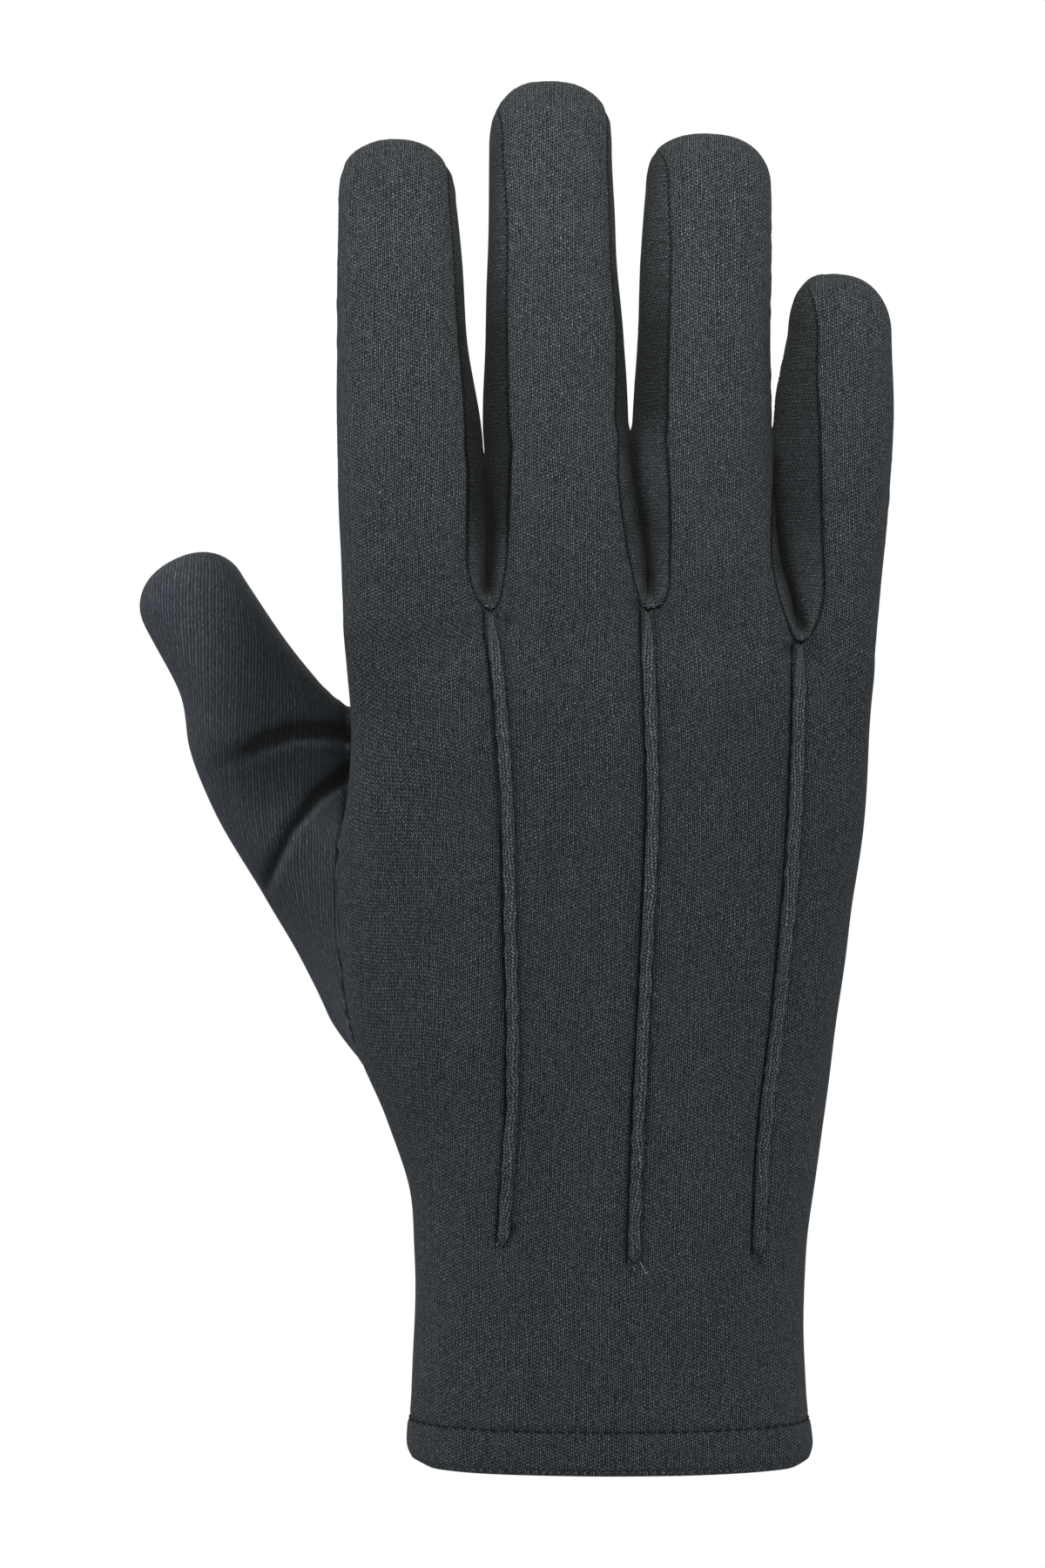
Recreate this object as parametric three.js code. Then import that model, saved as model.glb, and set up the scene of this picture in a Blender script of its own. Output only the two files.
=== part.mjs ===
import * as THREE from 'three';

// A dress glove for a right hand, open and rounded as when it is worn.
// Millimetres. +Z runs from the cuff to the fingertips, +X towards the little finger,
// +Y towards the palm, so the back of the hand faces -Y.
// The origin is the centre of the open cuff, on its lower edge.

// Cloth and seams
const wall = 1.2; // thickness of the knitted cotton
const seamGap = 0.3; // clear space along every seam
const sideSeam = 102; // where back meets palm, degrees from the middle of the back
const roundness = 2.5; // power of the fingers' oval sections, 2 is an ellipse

// Cuff
const hemHeight = 8; // turned-up inner ply
const foldHeight = 1.8; // rounded lower edge, both plies
const curl = 0.6; // bevel that rounds it
const panelFoot = foldHeight + seamGap; // where the panels start above the fold

// Raised tucks on the back of the hand
const tuckWidth = 2;
const tuckHeight = 1;
const tuckEnd = 38.5; // height at which the tucks stop above the cuff
const tuckStart = [0.45, 0.75]; // share of the full size at the first rows
const tuckStop = 0.55; // share of the full size at the end
const tuckSection = [[-0.5, 0], [-0.42, 0.65], [-0.18, 1], [0.18, 1], [0.42, 0.65], [0.5, 0]];

// Fingers
const knuckle = 146; // nominal height of the crotches
const crotchAngle = 50; // where a slit in the back panel ends, degrees round the finger
const palmSeam = 132; // back of the fourchettes, degrees from the middle of the back
const palmRise = 4; // the slits end this much higher on the palm
const saddleRise = 2.2; // how early the crotch climbs to that, as a power
const slitCurve = 7; // height over which a seam swings into the crotch
const lipCurve = 8; // height over which the slit's lip opens out
const knuckleFade = 15; // height over which the finger widths fade into the hand
const valleyFade = 8; // height over which the valleys between them fill up
const levelOut = 45; // height over which the rows under the crotches become level
const tipSetBack = 1.3; // the fingertip seam lies this far towards the palm

// Thumb
const holeTop = 129.5;
const holeFoot = 67.8;
const holeEnds = 24; // degrees round the hand that the hole takes at its top and foot
const holeSwell = 26; // degrees more at half its height
const edgeTurn = 130; // degrees of the thumb's section that grow from a long edge of the hole
const thumbTip = 8.2; // length of the rounded end
const thumbTipPower = 2.2; // its profile, 2 is a quarter of an ellipse
const thumbSettle = 1.3; // rows over which the gusset leaves the hand

// Faces
const fingerColumns = 6; // across the back, or the palm, of one finger
const forkColumns = 3; // across a fourchette
const holeColumns = 5; // palm columns left open for the thumb
const handColumns = fingerColumns * 8;
const backColumns = fingerColumns * 4;
const fingerSteps = [0, 0.02, 0.05, 0.1, 0.18, 0.28, 0.4, 0.53, 0.67, 0.8, 0.91, 1];
const domeSteps = [24, 46, 67, 90]; // degrees over a fingertip
const handRows = [
  knuckle, 143, 138.5, 134, holeTop, 121, 112.5, 104, 95.5, 87, 77.5, holeFoot,
  57, 46, 35, 24, 13, panelFoot,
];
const thumbSteps = [0.8, 1.3, 1.9, 2.5, 3.1, 3.8, 4.5, 5.2, 6, 7, 8];
const thumbDomeSteps = [25, 48, 70];

// The hand: outline from the front (left, right) and from the side (back, palm).
const hand = [
  { z: 0, left: -34.8, right: 34.7, back: -20.0, palm: 20.0, oval: 2.2 },
  { z: 4, left: -34.9, right: 34.5, back: -20.2, palm: 20.2, oval: 2.2 },
  { z: 12, left: -34.2, right: 33.5, back: -20.0, palm: 20.0, oval: 2.2 },
  { z: 24, left: -33.7, right: 33.0, back: -19.6, palm: 19.8, oval: 2.2 },
  { z: 36, left: -33.8, right: 33.8, back: -19.3, palm: 19.8, oval: 2.25 },
  { z: 47, left: -34.8, right: 35.1, back: -18.9, palm: 20.2, oval: 2.3 },
  { z: 59, left: -38.7, right: 36.7, back: -18.4, palm: 20.6, oval: 2.35 },
  { z: 71, left: -42.8, right: 38.2, back: -17.8, palm: 20.2, oval: 2.4 },
  { z: 82, left: -46.0, right: 39.9, back: -17.2, palm: 19.2, oval: 2.45 },
  { z: 92, left: -47.0, right: 41.3, back: -16.7, palm: 18.0, oval: 2.5 },
  { z: 103, left: -47.2, right: 42.9, back: -16.0, palm: 16.6, oval: 2.5 },
  { z: 114, left: -45.3, right: 43.9, back: -15.2, palm: 15.2, oval: 2.5 },
  { z: 126, left: -44.7, right: 44.5, back: -14.3, palm: 13.9, oval: 2.55 },
  { z: 137, left: -45.3, right: 45.3, back: -13.3, palm: 12.9, oval: 2.6 },
  { z: 147, left: -45.9, right: 46.4, back: -12.2, palm: 12.2, oval: 2.6 },
];

// The tucks: how far each lies from the middle as it runs down the back of the hand.
const tucks = [
  {
    name: 'pintuck_index',
    line: [
      { z: 39, x: -18.5 },
      { z: 49, x: -17.8 },
      { z: 67, x: -16.8 },
      { z: 90, x: -17.2 },
      { z: 114, x: -17.8 },
      { z: 130, x: -18.9 },
      { z: 146, x: -20.3 },
    ],
  },
  {
    name: 'pintuck_middle',
    line: [
      { z: 38, x: 3.5 },
      { z: 55, x: 4.2 },
      { z: 79, x: 5.4 },
      { z: 102, x: 6.5 },
      { z: 114, x: 6.9 },
      { z: 130, x: 6.5 },
      { z: 146, x: 6.0 },
    ],
  },
  {
    name: 'pintuck_ring',
    line: [
      { z: 38, x: 25.0 },
      { z: 55, x: 25.7 },
      { z: 79, x: 28.5 },
      { z: 102, x: 30.6 },
      { z: 114, x: 31.3 },
      { z: 127, x: 31.8 },
      { z: 140.6, x: 32.1 },
    ],
  },
];

// The heights at which back and palm are slit between the fingers, outer edges included.
const slits = [144, knuckle, 146.1, 140.6, 137];

// The fingers: outline from the front (left, right), middle and half depth from the side,
// and the seams of the back panel in degrees from the middle of the back.
const fingers = [
  {
    tip: 226.5,
    lean: -0.5,
    tipLine: 0.8,
    roll: 3,
    rows: [
      { z: 142, left: -45.7, right: -20.6, middle: 0.0, half: 11.4, from: -sideSeam, to: 42 },
      { z: 147, left: -45.9, right: -20.9, middle: 0.0, half: 11.3, from: -sideSeam, to: 42 },
      { z: 152, left: -46.2, right: -21.4, middle: 0.0, half: 11.2, from: -sideSeam, to: 42 },
      { z: 161, left: -46.65, right: -21.6, middle: 0.1, half: 11.0, from: -sideSeam, to: 42 },
      { z: 171, left: -46.9, right: -21.85, middle: 0.3, half: 10.7, from: -sideSeam, to: 45 },
      { z: 178, left: -47.1, right: -22.35, middle: 0.6, half: 10.4, from: -sideSeam, to: 49 },
      { z: 192, left: -47.1, right: -24.5, middle: 1.2, half: 9.8, from: -sideSeam, to: 56 },
      { z: 206, left: -47.1, right: -25.5, middle: 2.0, half: 9.3, from: -sideSeam, to: 58 },
      { z: 217, left: -46.95, right: -26.7, middle: 2.7, half: 8.9, from: -sideSeam, to: 60 },
    ],
  },
  {
    tip: 237.3,
    lean: 0,
    tipLine: 0.82,
    roll: 9,
    rows: [
      { z: 142, left: -20.0, right: 5.8, middle: 0.0, half: 12.0, from: -38, to: 42 },
      { z: 147, left: -20.4, right: 5.9, middle: 0.0, half: 11.9, from: -38, to: 42 },
      { z: 152, left: -20.9, right: 6.1, middle: 0.0, half: 11.8, from: -37, to: 42 },
      { z: 158, left: -20.9, right: 5.6, middle: 0.1, half: 11.7, from: -37, to: 42 },
      { z: 164, left: -21.15, right: 4.3, middle: 0.1, half: 11.5, from: -36, to: 43 },
      { z: 171, left: -21.4, right: 3.1, middle: 0.3, half: 11.2, from: -35, to: 46 },
      { z: 178, left: -21.9, right: 3.2, middle: 0.5, half: 10.9, from: -36, to: 50 },
      { z: 192, left: -21.6, right: 2.4, middle: 1.0, half: 10.3, from: -38, to: 58 },
      { z: 206, left: -21.15, right: 1.05, middle: 1.7, half: 9.9, from: -39, to: 61 },
      { z: 216, left: -21.0, right: 0.7, middle: 2.3, half: 9.6, from: -41, to: 62 },
      { z: 225.3, left: -20.85, right: 0.45, middle: 2.9, half: 9.3, from: -48, to: 64 },
    ],
  },
  {
    tip: 228.6,
    lean: -0.5,
    tipLine: 0.76,
    roll: 22,
    rows: [
      { z: 138, left: 6.3, right: 31.9, middle: 0.0, half: 11.7, from: -38, to: 45 },
      { z: 143, left: 6.3, right: 31.6, middle: 0.0, half: 11.6, from: -38, to: 46 },
      { z: 148, left: 6.45, right: 30.7, middle: 0.0, half: 11.5, from: -38, to: 47 },
      { z: 154, left: 6.5, right: 29.1, middle: 0.1, half: 11.3, from: -36, to: 50 },
      { z: 161, left: 5.3, right: 28.05, middle: 0.2, half: 11.1, from: -28, to: 53 },
      { z: 167, left: 4.2, right: 27.55, middle: 0.3, half: 10.9, from: -23, to: 56 },
      { z: 172, left: 3.6, right: 27.45, middle: 0.5, half: 10.7, from: -22, to: 58 },
      { z: 178, left: 3.7, right: 27.6, middle: 0.7, half: 10.4, from: -25, to: 60 },
      { z: 192, left: 4.65, right: 27.5, middle: 1.3, half: 9.8, from: -28, to: 63 },
      { z: 206, left: 5.25, right: 27.6, middle: 2.1, half: 9.3, from: -29, to: 64 },
      { z: 219, left: 6.15, right: 27.8, middle: 2.9, half: 8.9, from: -36, to: 66 },
    ],
  },
  {
    tip: 203.4,
    lean: -0.9,
    tipLine: 0.72,
    roll: 32,
    rows: [
      { z: 134, left: 32.6, right: 45.0, middle: 0.8, half: 10.4, from: -16, to: sideSeam },
      { z: 138, left: 32.5, right: 45.4, middle: 0.8, half: 10.2, from: -14, to: sideSeam },
      { z: 143, left: 32.1, right: 45.9, middle: 0.8, half: 10.0, from: -12, to: sideSeam },
      { z: 148, left: 31.2, right: 46.4, middle: 0.9, half: 9.8, from: -10, to: sideSeam },
      { z: 154, left: 29.6, right: 47.0, middle: 1.0, half: 9.6, from: -8, to: sideSeam },
      { z: 161, left: 28.55, right: 47.65, middle: 1.1, half: 9.3, from: -7, to: sideSeam },
      { z: 167, left: 28.05, right: 48.1, middle: 1.3, half: 9.1, from: -7, to: sideSeam },
      { z: 175, left: 27.95, right: 48.6, middle: 1.7, half: 8.8, from: -9, to: sideSeam },
      { z: 184, left: 28.8, right: 48.9, middle: 2.1, half: 8.5, from: -16, to: sideSeam },
      { z: 194, left: 30.3, right: 48.75, middle: 2.7, half: 8.1, from: -30, to: sideSeam },
    ],
  },
];

// The thumb: each row is a section between an outer and an inner edge seen from the front,
// with its middle and half depth from the side.
const thumb = [
  { row: 0, outX: -46.6, outZ: 68.2, inX: -45.5, inZ: 129.8, middle: 12.5, half: 8.5 },
  { row: 1, outX: -49.6, outZ: 75.9, inX: -45.9, inZ: 130.1, middle: 13.2, half: 9.5 },
  { row: 2, outX: -54.5, outZ: 85.9, inX: -46.6, inZ: 130.6, middle: 14.0, half: 10.4 },
  { row: 3, outX: -59.8, outZ: 95.0, inX: -47.2, inZ: 131.1, middle: 15.0, half: 11.2 },
  { row: 4, outX: -65.0, outZ: 104.2, inX: -48.2, inZ: 131.7, middle: 16.0, half: 11.3 },
  { row: 5, outX: -70.0, outZ: 113.3, inX: -49.2, inZ: 132.6, middle: 17.0, half: 11.0 },
  { row: 6, outX: -73.6, outZ: 122.5, inX: -51.5, inZ: 134.8, middle: 17.8, half: 10.5 },
  { row: 7, outX: -75.9, outZ: 132.4, inX: -56.2, inZ: 140.6, middle: 18.4, half: 10.0 },
  { row: 8, outX: -81.6, outZ: 144.0, inX: -64.3, inZ: 152.8, middle: 18.8, half: 9.4 },
];

// Two folds of slack cloth where the thumb leaves the hand, seen from the front.
const folds = [
  {
    height: 1.5,
    width: 4.2,
    path: [[-73, 96], [-68.5, 103.5], [-62, 110], [-52, 116.5]],
  },
  {
    height: 1.0,
    width: 3.2,
    path: [[-75, 121.5], [-68, 123.3], [-60, 123.6], [-52, 122.3]],
  },
];

const radians = THREE.MathUtils.degToRad;
const mix = THREE.MathUtils.lerp;

function ease(t) {
  return THREE.MathUtils.smoothstep(t, 0, 1);
}

function signedPower(value, power) {
  return Math.sign(value) * Math.abs(value) ** power;
}

// Reads one column of a table between its rows, on a smooth curve through them.
function read(table, column, at, by = 'z') {
  const last = table.length - 1;
  if (at <= table[0][by]) return table[0][column];
  if (at >= table[last][by]) return table[last][column];
  let k = 0;
  while (at > table[k + 1][by]) k += 1;
  const slope = (m) => {
    const low = table[Math.max(m - 1, 0)];
    const high = table[Math.min(m + 1, last)];
    return (high[column] - low[column]) / (high[by] - low[by]);
  };
  const step = table[k + 1][by] - table[k][by];
  const t = (at - table[k][by]) / step;
  const rise = table[k + 1][column] - table[k][column];
  const bend = (1 - t) * (slope(k) * step - rise) - t * (slope(k + 1) * step - rise);
  return table[k][column] + t * rise + t * (1 - t) * bend;
}

// Corner angles of a finger's loop: back left, back right, palm right, palm left.
// Towards the crotch the seams swing together, over the tip they meet on the tip line.
function loopAngles(k, z, overTip) {
  const finger = fingers[k];
  const swing = (slit) => Math.max(0, 1 - Math.max(0, z - slit) / slitCurve) ** 3;
  const corners = [
    read(finger.rows, 'from', z),
    read(finger.rows, 'to', z),
    palmSeam + finger.roll,
    360 - palmSeam + finger.roll,
  ];
  if (k > 0) {
    corners[0] = mix(corners[0], -crotchAngle, swing(slits[k]));
    corners[3] = mix(corners[3], 180 + crotchAngle, swing(slits[k] + palmRise));
  } else {
    corners[3] = corners[0] + 360;
  }
  if (k < fingers.length - 1) {
    corners[1] = mix(corners[1], crotchAngle, swing(slits[k + 1]));
    corners[2] = mix(corners[2], 180 - crotchAngle, swing(slits[k + 1] + palmRise));
  } else {
    corners[2] = corners[1];
  }
  const meet = [finger.roll - 90, finger.roll + 90, finger.roll + 90, finger.roll + 270];
  return corners.map((angle, c) => mix(angle, meet[c], overTip));
}

const sides = ['back', 'right', 'palm', 'left'];

// Height of the slit under a point of the finger's loop.
function slitHeight(k, side, f) {
  const corners = [slits[k], slits[k + 1], slits[k + 1] + palmRise, slits[k] + palmRise];
  if (k === 0) corners[3] = slits[0];
  if (k === fingers.length - 1) corners[2] = slits[fingers.length];
  const c = sides.indexOf(side);
  let share = f;
  if (side === 'right') share = 1 - (1 - f) ** saddleRise;
  if (side === 'left') share = f ** saddleRise;
  return mix(corners[c], corners[(c + 1) % corners.length], share);
}

function loopAngle(k, side, f, z, overTip) {
  const corners = loopAngles(k, z, overTip);
  corners.push(corners[0] + 360);
  const c = sides.indexOf(side);
  return radians(mix(corners[c], corners[c + 1], f));
}

// A point on a finger, f across one side of its loop and t up from the crotch to the dome.
function fingerPoint(k, side, f, t) {
  const { rows } = fingers[k];
  const foot = slitHeight(k, side, f);
  const z = mix(foot, rows[rows.length - 1].z, t);
  const angle = loopAngle(k, side, f, z, 0);
  const left = read(rows, 'left', z);
  const right = read(rows, 'right', z);
  const lip = Math.max(0, 1 - (z - foot) / lipCurve) ** 2;
  const open = mix(1, Math.sin(radians(crotchAngle)) ** (-2 / roundness), lip);
  const across = signedPower(Math.sin(angle), 2 / roundness) * open * (right - left) / 2;
  const deep = signedPower(Math.cos(angle), 2 / roundness) * read(rows, 'half', z);
  const x = THREE.MathUtils.clamp((left + right) / 2 + across, left, right);
  return new THREE.Vector3(x, read(rows, 'middle', z) - deep, z);
}

// A point on the rounded fingertip: the loops flatten onto a line across the tip.
function domePoint(k, side, f, degrees) {
  const { rows, tip, tipLine, roll, lean } = fingers[k];
  const base = rows[rows.length - 1];
  const turn = radians(roll);
  const flat = Math.cos(radians(degrees));
  const angle = loopAngle(k, side, f, base.z, 1 - flat);
  const u = signedPower(Math.sin(angle), 2 / roundness);
  const v = -signedPower(Math.cos(angle), 2 / roundness);
  const wide = (u * Math.cos(turn) + v * Math.sin(turn)) * mix(tipLine, 1, flat);
  const deep = (v * Math.cos(turn) - u * Math.sin(turn)) * flat;
  const nx = wide * Math.cos(turn) - deep * Math.sin(turn);
  const ny = wide * Math.sin(turn) + deep * Math.cos(turn);
  const left = Math.max(0, 1 - Math.abs(nx) ** roundness - Math.abs(ny) ** roundness);
  return new THREE.Vector3(
    (base.left + base.right) / 2 + nx * (base.right - base.left) / 2 + lean * (1 - flat),
    base.middle + ny * base.half + tipSetBack * (1 - flat),
    base.z + (tip - base.z) * left ** (1 / roundness),
  );
}

// Where a column of the hand ends at the crotches, columns counted from the index side
// over the back to the little finger and home again over the palm.
function knucklePoint(column) {
  const i = (column + handColumns) % handColumns;
  const onBack = i < backColumns;
  const across = (onBack ? i : i - backColumns) / fingerColumns;
  const cell = Math.floor(across);
  const f = across - cell;
  const side = onBack ? 'back' : 'palm';
  const k = onBack ? cell : fingers.length - 1 - cell;
  const point = fingerPoint(k, side, f, 0);
  const before = onBack ? k - 1 : k + 1;
  if (f === 0 && before >= 0 && before < fingers.length) {
    point.lerp(fingerPoint(before, side, 1, 0), 0.5);
  }
  return point;
}

// Angle round the hand at which a tuck lies.
function tuckAngle(tuck, z) {
  const left = read(hand, 'left', z);
  const right = read(hand, 'right', z);
  const share = (read(tuck.line, 'x', z) - (left + right) / 2) / ((right - left) / 2);
  return THREE.MathUtils.radToDeg(Math.asin(signedPower(share, read(hand, 'oval', z) / 2)));
}

// Angle round the hand of a column: the tucks and the thumb hole steer the columns.
function columnAngle(i, z) {
  const hole = (z - (holeTop + holeFoot) / 2) / ((holeTop - holeFoot) / 2);
  const holeWidth = holeEnds + holeSwell * Math.sqrt(Math.max(0, 1 - hole * hole));
  const stops = [
    [0, -sideSeam],
    [fingerColumns, tuckAngle(tucks[0], z)],
    [fingerColumns * 2, tuckAngle(tucks[1], z)],
    [fingerColumns * 3, tuckAngle(tucks[2], z)],
    [backColumns, sideSeam],
    [handColumns - holeColumns, 360 - sideSeam - holeWidth],
    [handColumns, 360 - sideSeam],
  ];
  let s = 0;
  while (i > stops[s + 1][0]) s += 1;
  const f = (i - stops[s][0]) / (stops[s + 1][0] - stops[s][0]);
  return mix(stops[s][1], stops[s + 1][1], f);
}

// A point on the hand below the crotches. The rows level out on their way to the cuff.
function handPoint(column, height) {
  const i = (column + handColumns) % handColumns;
  const top = knucklePoint(i);
  const level = Math.max(0, 1 - (knuckle - height) / levelOut) ** 2;
  const z = height + (top.z - knuckle) * level;
  const angle = radians(columnAngle(i, z));
  const left = read(hand, 'left', z);
  const right = read(hand, 'right', z);
  const back = read(hand, 'back', z);
  const palm = read(hand, 'palm', z);
  const power = 2 / read(hand, 'oval', z);
  const x = (left + right) / 2 + signedPower(Math.sin(angle), power) * (right - left) / 2;
  const y = (back + palm) / 2 - signedPower(Math.cos(angle), power) * (palm - back) / 2;
  const near = (fade) => Math.exp(-(((top.z - z) / fade) ** 2) * 2);
  return new THREE.Vector3(mix(x, top.x, near(knuckleFade)), mix(y, top.y, near(valleyFade)), z);
}

// A point on the thumb's section, degrees counted from its inner edge over the palm side.
function thumbSection(row, degrees) {
  const get = (column) => read(thumb, column, row, 'row');
  const outer = new THREE.Vector3(get('outX'), get('middle'), get('outZ'));
  const inner = new THREE.Vector3(get('inX'), get('middle'), get('inZ'));
  const angle = radians(degrees);
  const along = signedPower(Math.cos(angle), 2 / roundness);
  const point = outer.lerp(inner, (1 + along) / 2);
  point.y += signedPower(Math.sin(angle), 2 / roundness) * get('half');
  return point;
}

function distanceToPath(x, z, path) {
  let best = Infinity;
  for (let s = 0; s < path.length - 1; s += 1) {
    const [ax, az] = path[s];
    const [bx, bz] = path[s + 1];
    const dx = bx - ax;
    const dz = bz - az;
    const t = THREE.MathUtils.clamp(((x - ax) * dx + (z - az) * dz) / (dx * dx + dz * dz), 0, 1);
    best = Math.min(best, Math.hypot(x - ax - t * dx, z - az - t * dz));
  }
  return best;
}

// The glove's outer surface, as shared points and four-sided faces, each with its piece.
const points = [];
const faces = [];

function addPoint(point) {
  points.push(point);
  return points.length - 1;
}

function addStrip(piece, low, high) {
  for (let i = 0; i < low.length - 1; i += 1) {
    faces.push({ piece, corners: [low[i], low[i + 1], high[i + 1], high[i]] });
  }
}

// The hand, rows from the crotches down to the cuff.
const grid = handRows.map((height) => {
  const row = [];
  for (let i = 0; i < handColumns; i += 1) row.push(addPoint(handPoint(i, height)));
  row.push(row[0]);
  return row;
});
const holeLeft = handColumns - holeColumns;
const topRow = handRows.indexOf(holeTop);
const footRow = handRows.indexOf(holeFoot);
for (let j = 0; j < grid.length - 1; j += 1) {
  const inHole = j >= topRow && j < footRow;
  const palmEnd = inHole ? holeLeft : handColumns;
  const [low, high] = [grid[j + 1], grid[j]];
  addStrip('back_panel', low.slice(0, backColumns + 1), high.slice(0, backColumns + 1));
  addStrip('palm_panel', low.slice(backColumns, palmEnd + 1), high.slice(backColumns, palmEnd + 1));
}

// The fingers, each a stack of loops of four arcs that share their corners.
const forks = ['fourchette_index_middle', 'fourchette_middle_ring', 'fourchette_ring_little'];
const saddles = forks.map((name, k) => {
  const back = grid[0][(k + 1) * fingerColumns];
  const palm = grid[0][handColumns - (k + 1) * fingerColumns];
  const between = [];
  for (let c = 1; c < forkColumns; c += 1) {
    const f = c / forkColumns;
    const point = fingerPoint(k, 'right', f, 0).lerp(fingerPoint(k + 1, 'left', 1 - f, 0), 0.5);
    between.push(addPoint(point));
  }
  return [back, ...between, palm];
});

function newLoop(place, hasRight, hasLeft) {
  const arc = (side, columns) => {
    const row = [];
    for (let c = 0; c < columns; c += 1) row.push(addPoint(place(side, c / columns)));
    return row;
  };
  const back = arc('back', fingerColumns);
  const right = hasRight ? arc('right', forkColumns) : [];
  const palm = arc('palm', fingerColumns);
  const left = hasLeft ? arc('left', forkColumns) : [];
  back.push(hasRight ? right[0] : palm[0]);
  if (hasRight) right.push(palm[0]);
  palm.push(hasLeft ? left[0] : back[0]);
  if (hasLeft) left.push(back[0]);
  return { back, right, palm, left };
}

fingers.forEach((finger, k) => {
  const hasRight = k < fingers.length - 1;
  const hasLeft = k > 0;
  const first = k * fingerColumns;
  const palmFirst = handColumns - first - fingerColumns;
  const loops = [{
    back: grid[0].slice(first, first + fingerColumns + 1),
    right: hasRight ? saddles[k] : [],
    palm: grid[0].slice(palmFirst, palmFirst + fingerColumns + 1),
    left: hasLeft ? [...saddles[k - 1]].reverse() : [],
  }];
  for (const t of fingerSteps.slice(1)) {
    loops.push(newLoop((side, f) => fingerPoint(k, side, f, t), hasRight, hasLeft));
  }
  for (const degrees of domeSteps.slice(0, -1)) {
    loops.push(newLoop((side, f) => domePoint(k, side, f, degrees), hasRight, hasLeft));
  }
  const line = [];
  for (let c = 0; c <= fingerColumns; c += 1) {
    line.push(addPoint(domePoint(k, 'back', c / fingerColumns, domeSteps[domeSteps.length - 1])));
  }
  loops.push({
    back: line,
    right: loops[0].right.map(() => line[fingerColumns]),
    palm: [...line].reverse(),
    left: loops[0].left.map(() => line[0]),
  });
  for (let r = 0; r < loops.length - 1; r += 1) {
    addStrip('back_panel', loops[r].back, loops[r + 1].back);
    addStrip('palm_panel', loops[r].palm, loops[r + 1].palm);
    if (hasRight) addStrip(forks[k], loops[r].right, loops[r + 1].right);
    if (hasLeft) addStrip(forks[k - 1], loops[r].left, loops[r + 1].left);
  }
});

// The thumb grows out of the hole: up its front edge, over the top, down the palm, home.
const holeLoop = [];
for (let j = footRow; j > topRow; j -= 1) holeLoop.push(grid[j][handColumns]);
for (let i = handColumns; i > holeLeft; i -= 1) holeLoop.push(grid[topRow][i]);
for (let j = topRow; j < footRow; j += 1) holeLoop.push(grid[j][holeLeft]);
for (let i = holeLeft; i < handColumns; i += 1) holeLoop.push(grid[footRow][i]);
const edgeRows = footRow - topRow;
const endTurn = 180 - edgeTurn;
const holeAngles = holeLoop.map((point, n) => {
  const half = edgeRows + holeColumns;
  const m = n % half;
  const start = n < half ? -180 + endTurn / 2 : endTurn / 2;
  if (m <= edgeRows) return start + edgeTurn * m / edgeRows;
  return start + edgeTurn + endTurn * (m - edgeRows) / holeColumns;
});

function thumbPoint(n, row) {
  const away = ease(row / thumbSettle);
  const point = points[holeLoop[n]].clone().lerp(thumbSection(row, holeAngles[n]), away);
  const facing = Math.max(0, -Math.sin(radians(holeAngles[n])));
  for (const fold of folds) {
    const near = distanceToPath(point.x, point.z, fold.path) / fold.width;
    point.y -= facing * fold.height * Math.exp(-near * near);
  }
  return point;
}

function closeLoop(loop) {
  return [...loop, loop[0]];
}

const thumbLoops = [holeLoop];
for (const row of thumbSteps) {
  thumbLoops.push(holeLoop.map((point, n) => addPoint(thumbPoint(n, row))));
}
const lastRow = thumb[thumb.length - 1];
const thumbMiddle = new THREE.Vector3(
  (lastRow.outX + lastRow.inX) / 2,
  lastRow.middle,
  (lastRow.outZ + lastRow.inZ) / 2,
);
const thumbAxis = new THREE.Vector3(lastRow.outZ - lastRow.inZ, 0, lastRow.inX - lastRow.outX);
thumbAxis.normalize();
for (const degrees of thumbDomeSteps) {
  const shrink = Math.cos(radians(degrees)) ** (2 / thumbTipPower);
  const rise = Math.sin(radians(degrees)) ** (2 / thumbTipPower) * thumbTip;
  thumbLoops.push(holeLoop.map((point, n) => {
    const place = thumbSection(lastRow.row, holeAngles[n]).sub(thumbMiddle);
    place.multiplyScalar(shrink).add(thumbMiddle).addScaledVector(thumbAxis, rise);
    return addPoint(place);
  }));
}
const thumbPole = addPoint(thumbMiddle.clone().addScaledVector(thumbAxis, thumbTip));
thumbLoops.push(holeLoop.map(() => thumbPole));
for (let r = 0; r < thumbLoops.length - 1; r += 1) {
  addStrip('thumb', closeLoop(thumbLoops[r]), closeLoop(thumbLoops[r + 1]));
}

// Triangles of a piece, without the ones that a tip has closed up.
function trianglesOf(piece) {
  const triangles = [];
  for (const face of faces) {
    if (piece && face.piece !== piece) continue;
    const [a, b, c, d] = face.corners;
    for (const triangle of [[a, b, c], [a, c, d]]) {
      if (new Set(triangle).size === 3) triangles.push(triangle);
    }
  }
  return triangles;
}

// Directions out of the cloth, the same on both sides of every seam.
const outward = points.map(() => new THREE.Vector3());
for (const [a, b, c] of trianglesOf(null)) {
  const ab = points[b].clone().sub(points[a]);
  const ac = points[c].clone().sub(points[a]);
  const normal = ab.cross(ac);
  for (const corner of [a, b, c]) outward[corner].add(normal);
}
outward.forEach((normal) => normal.normalize());

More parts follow.
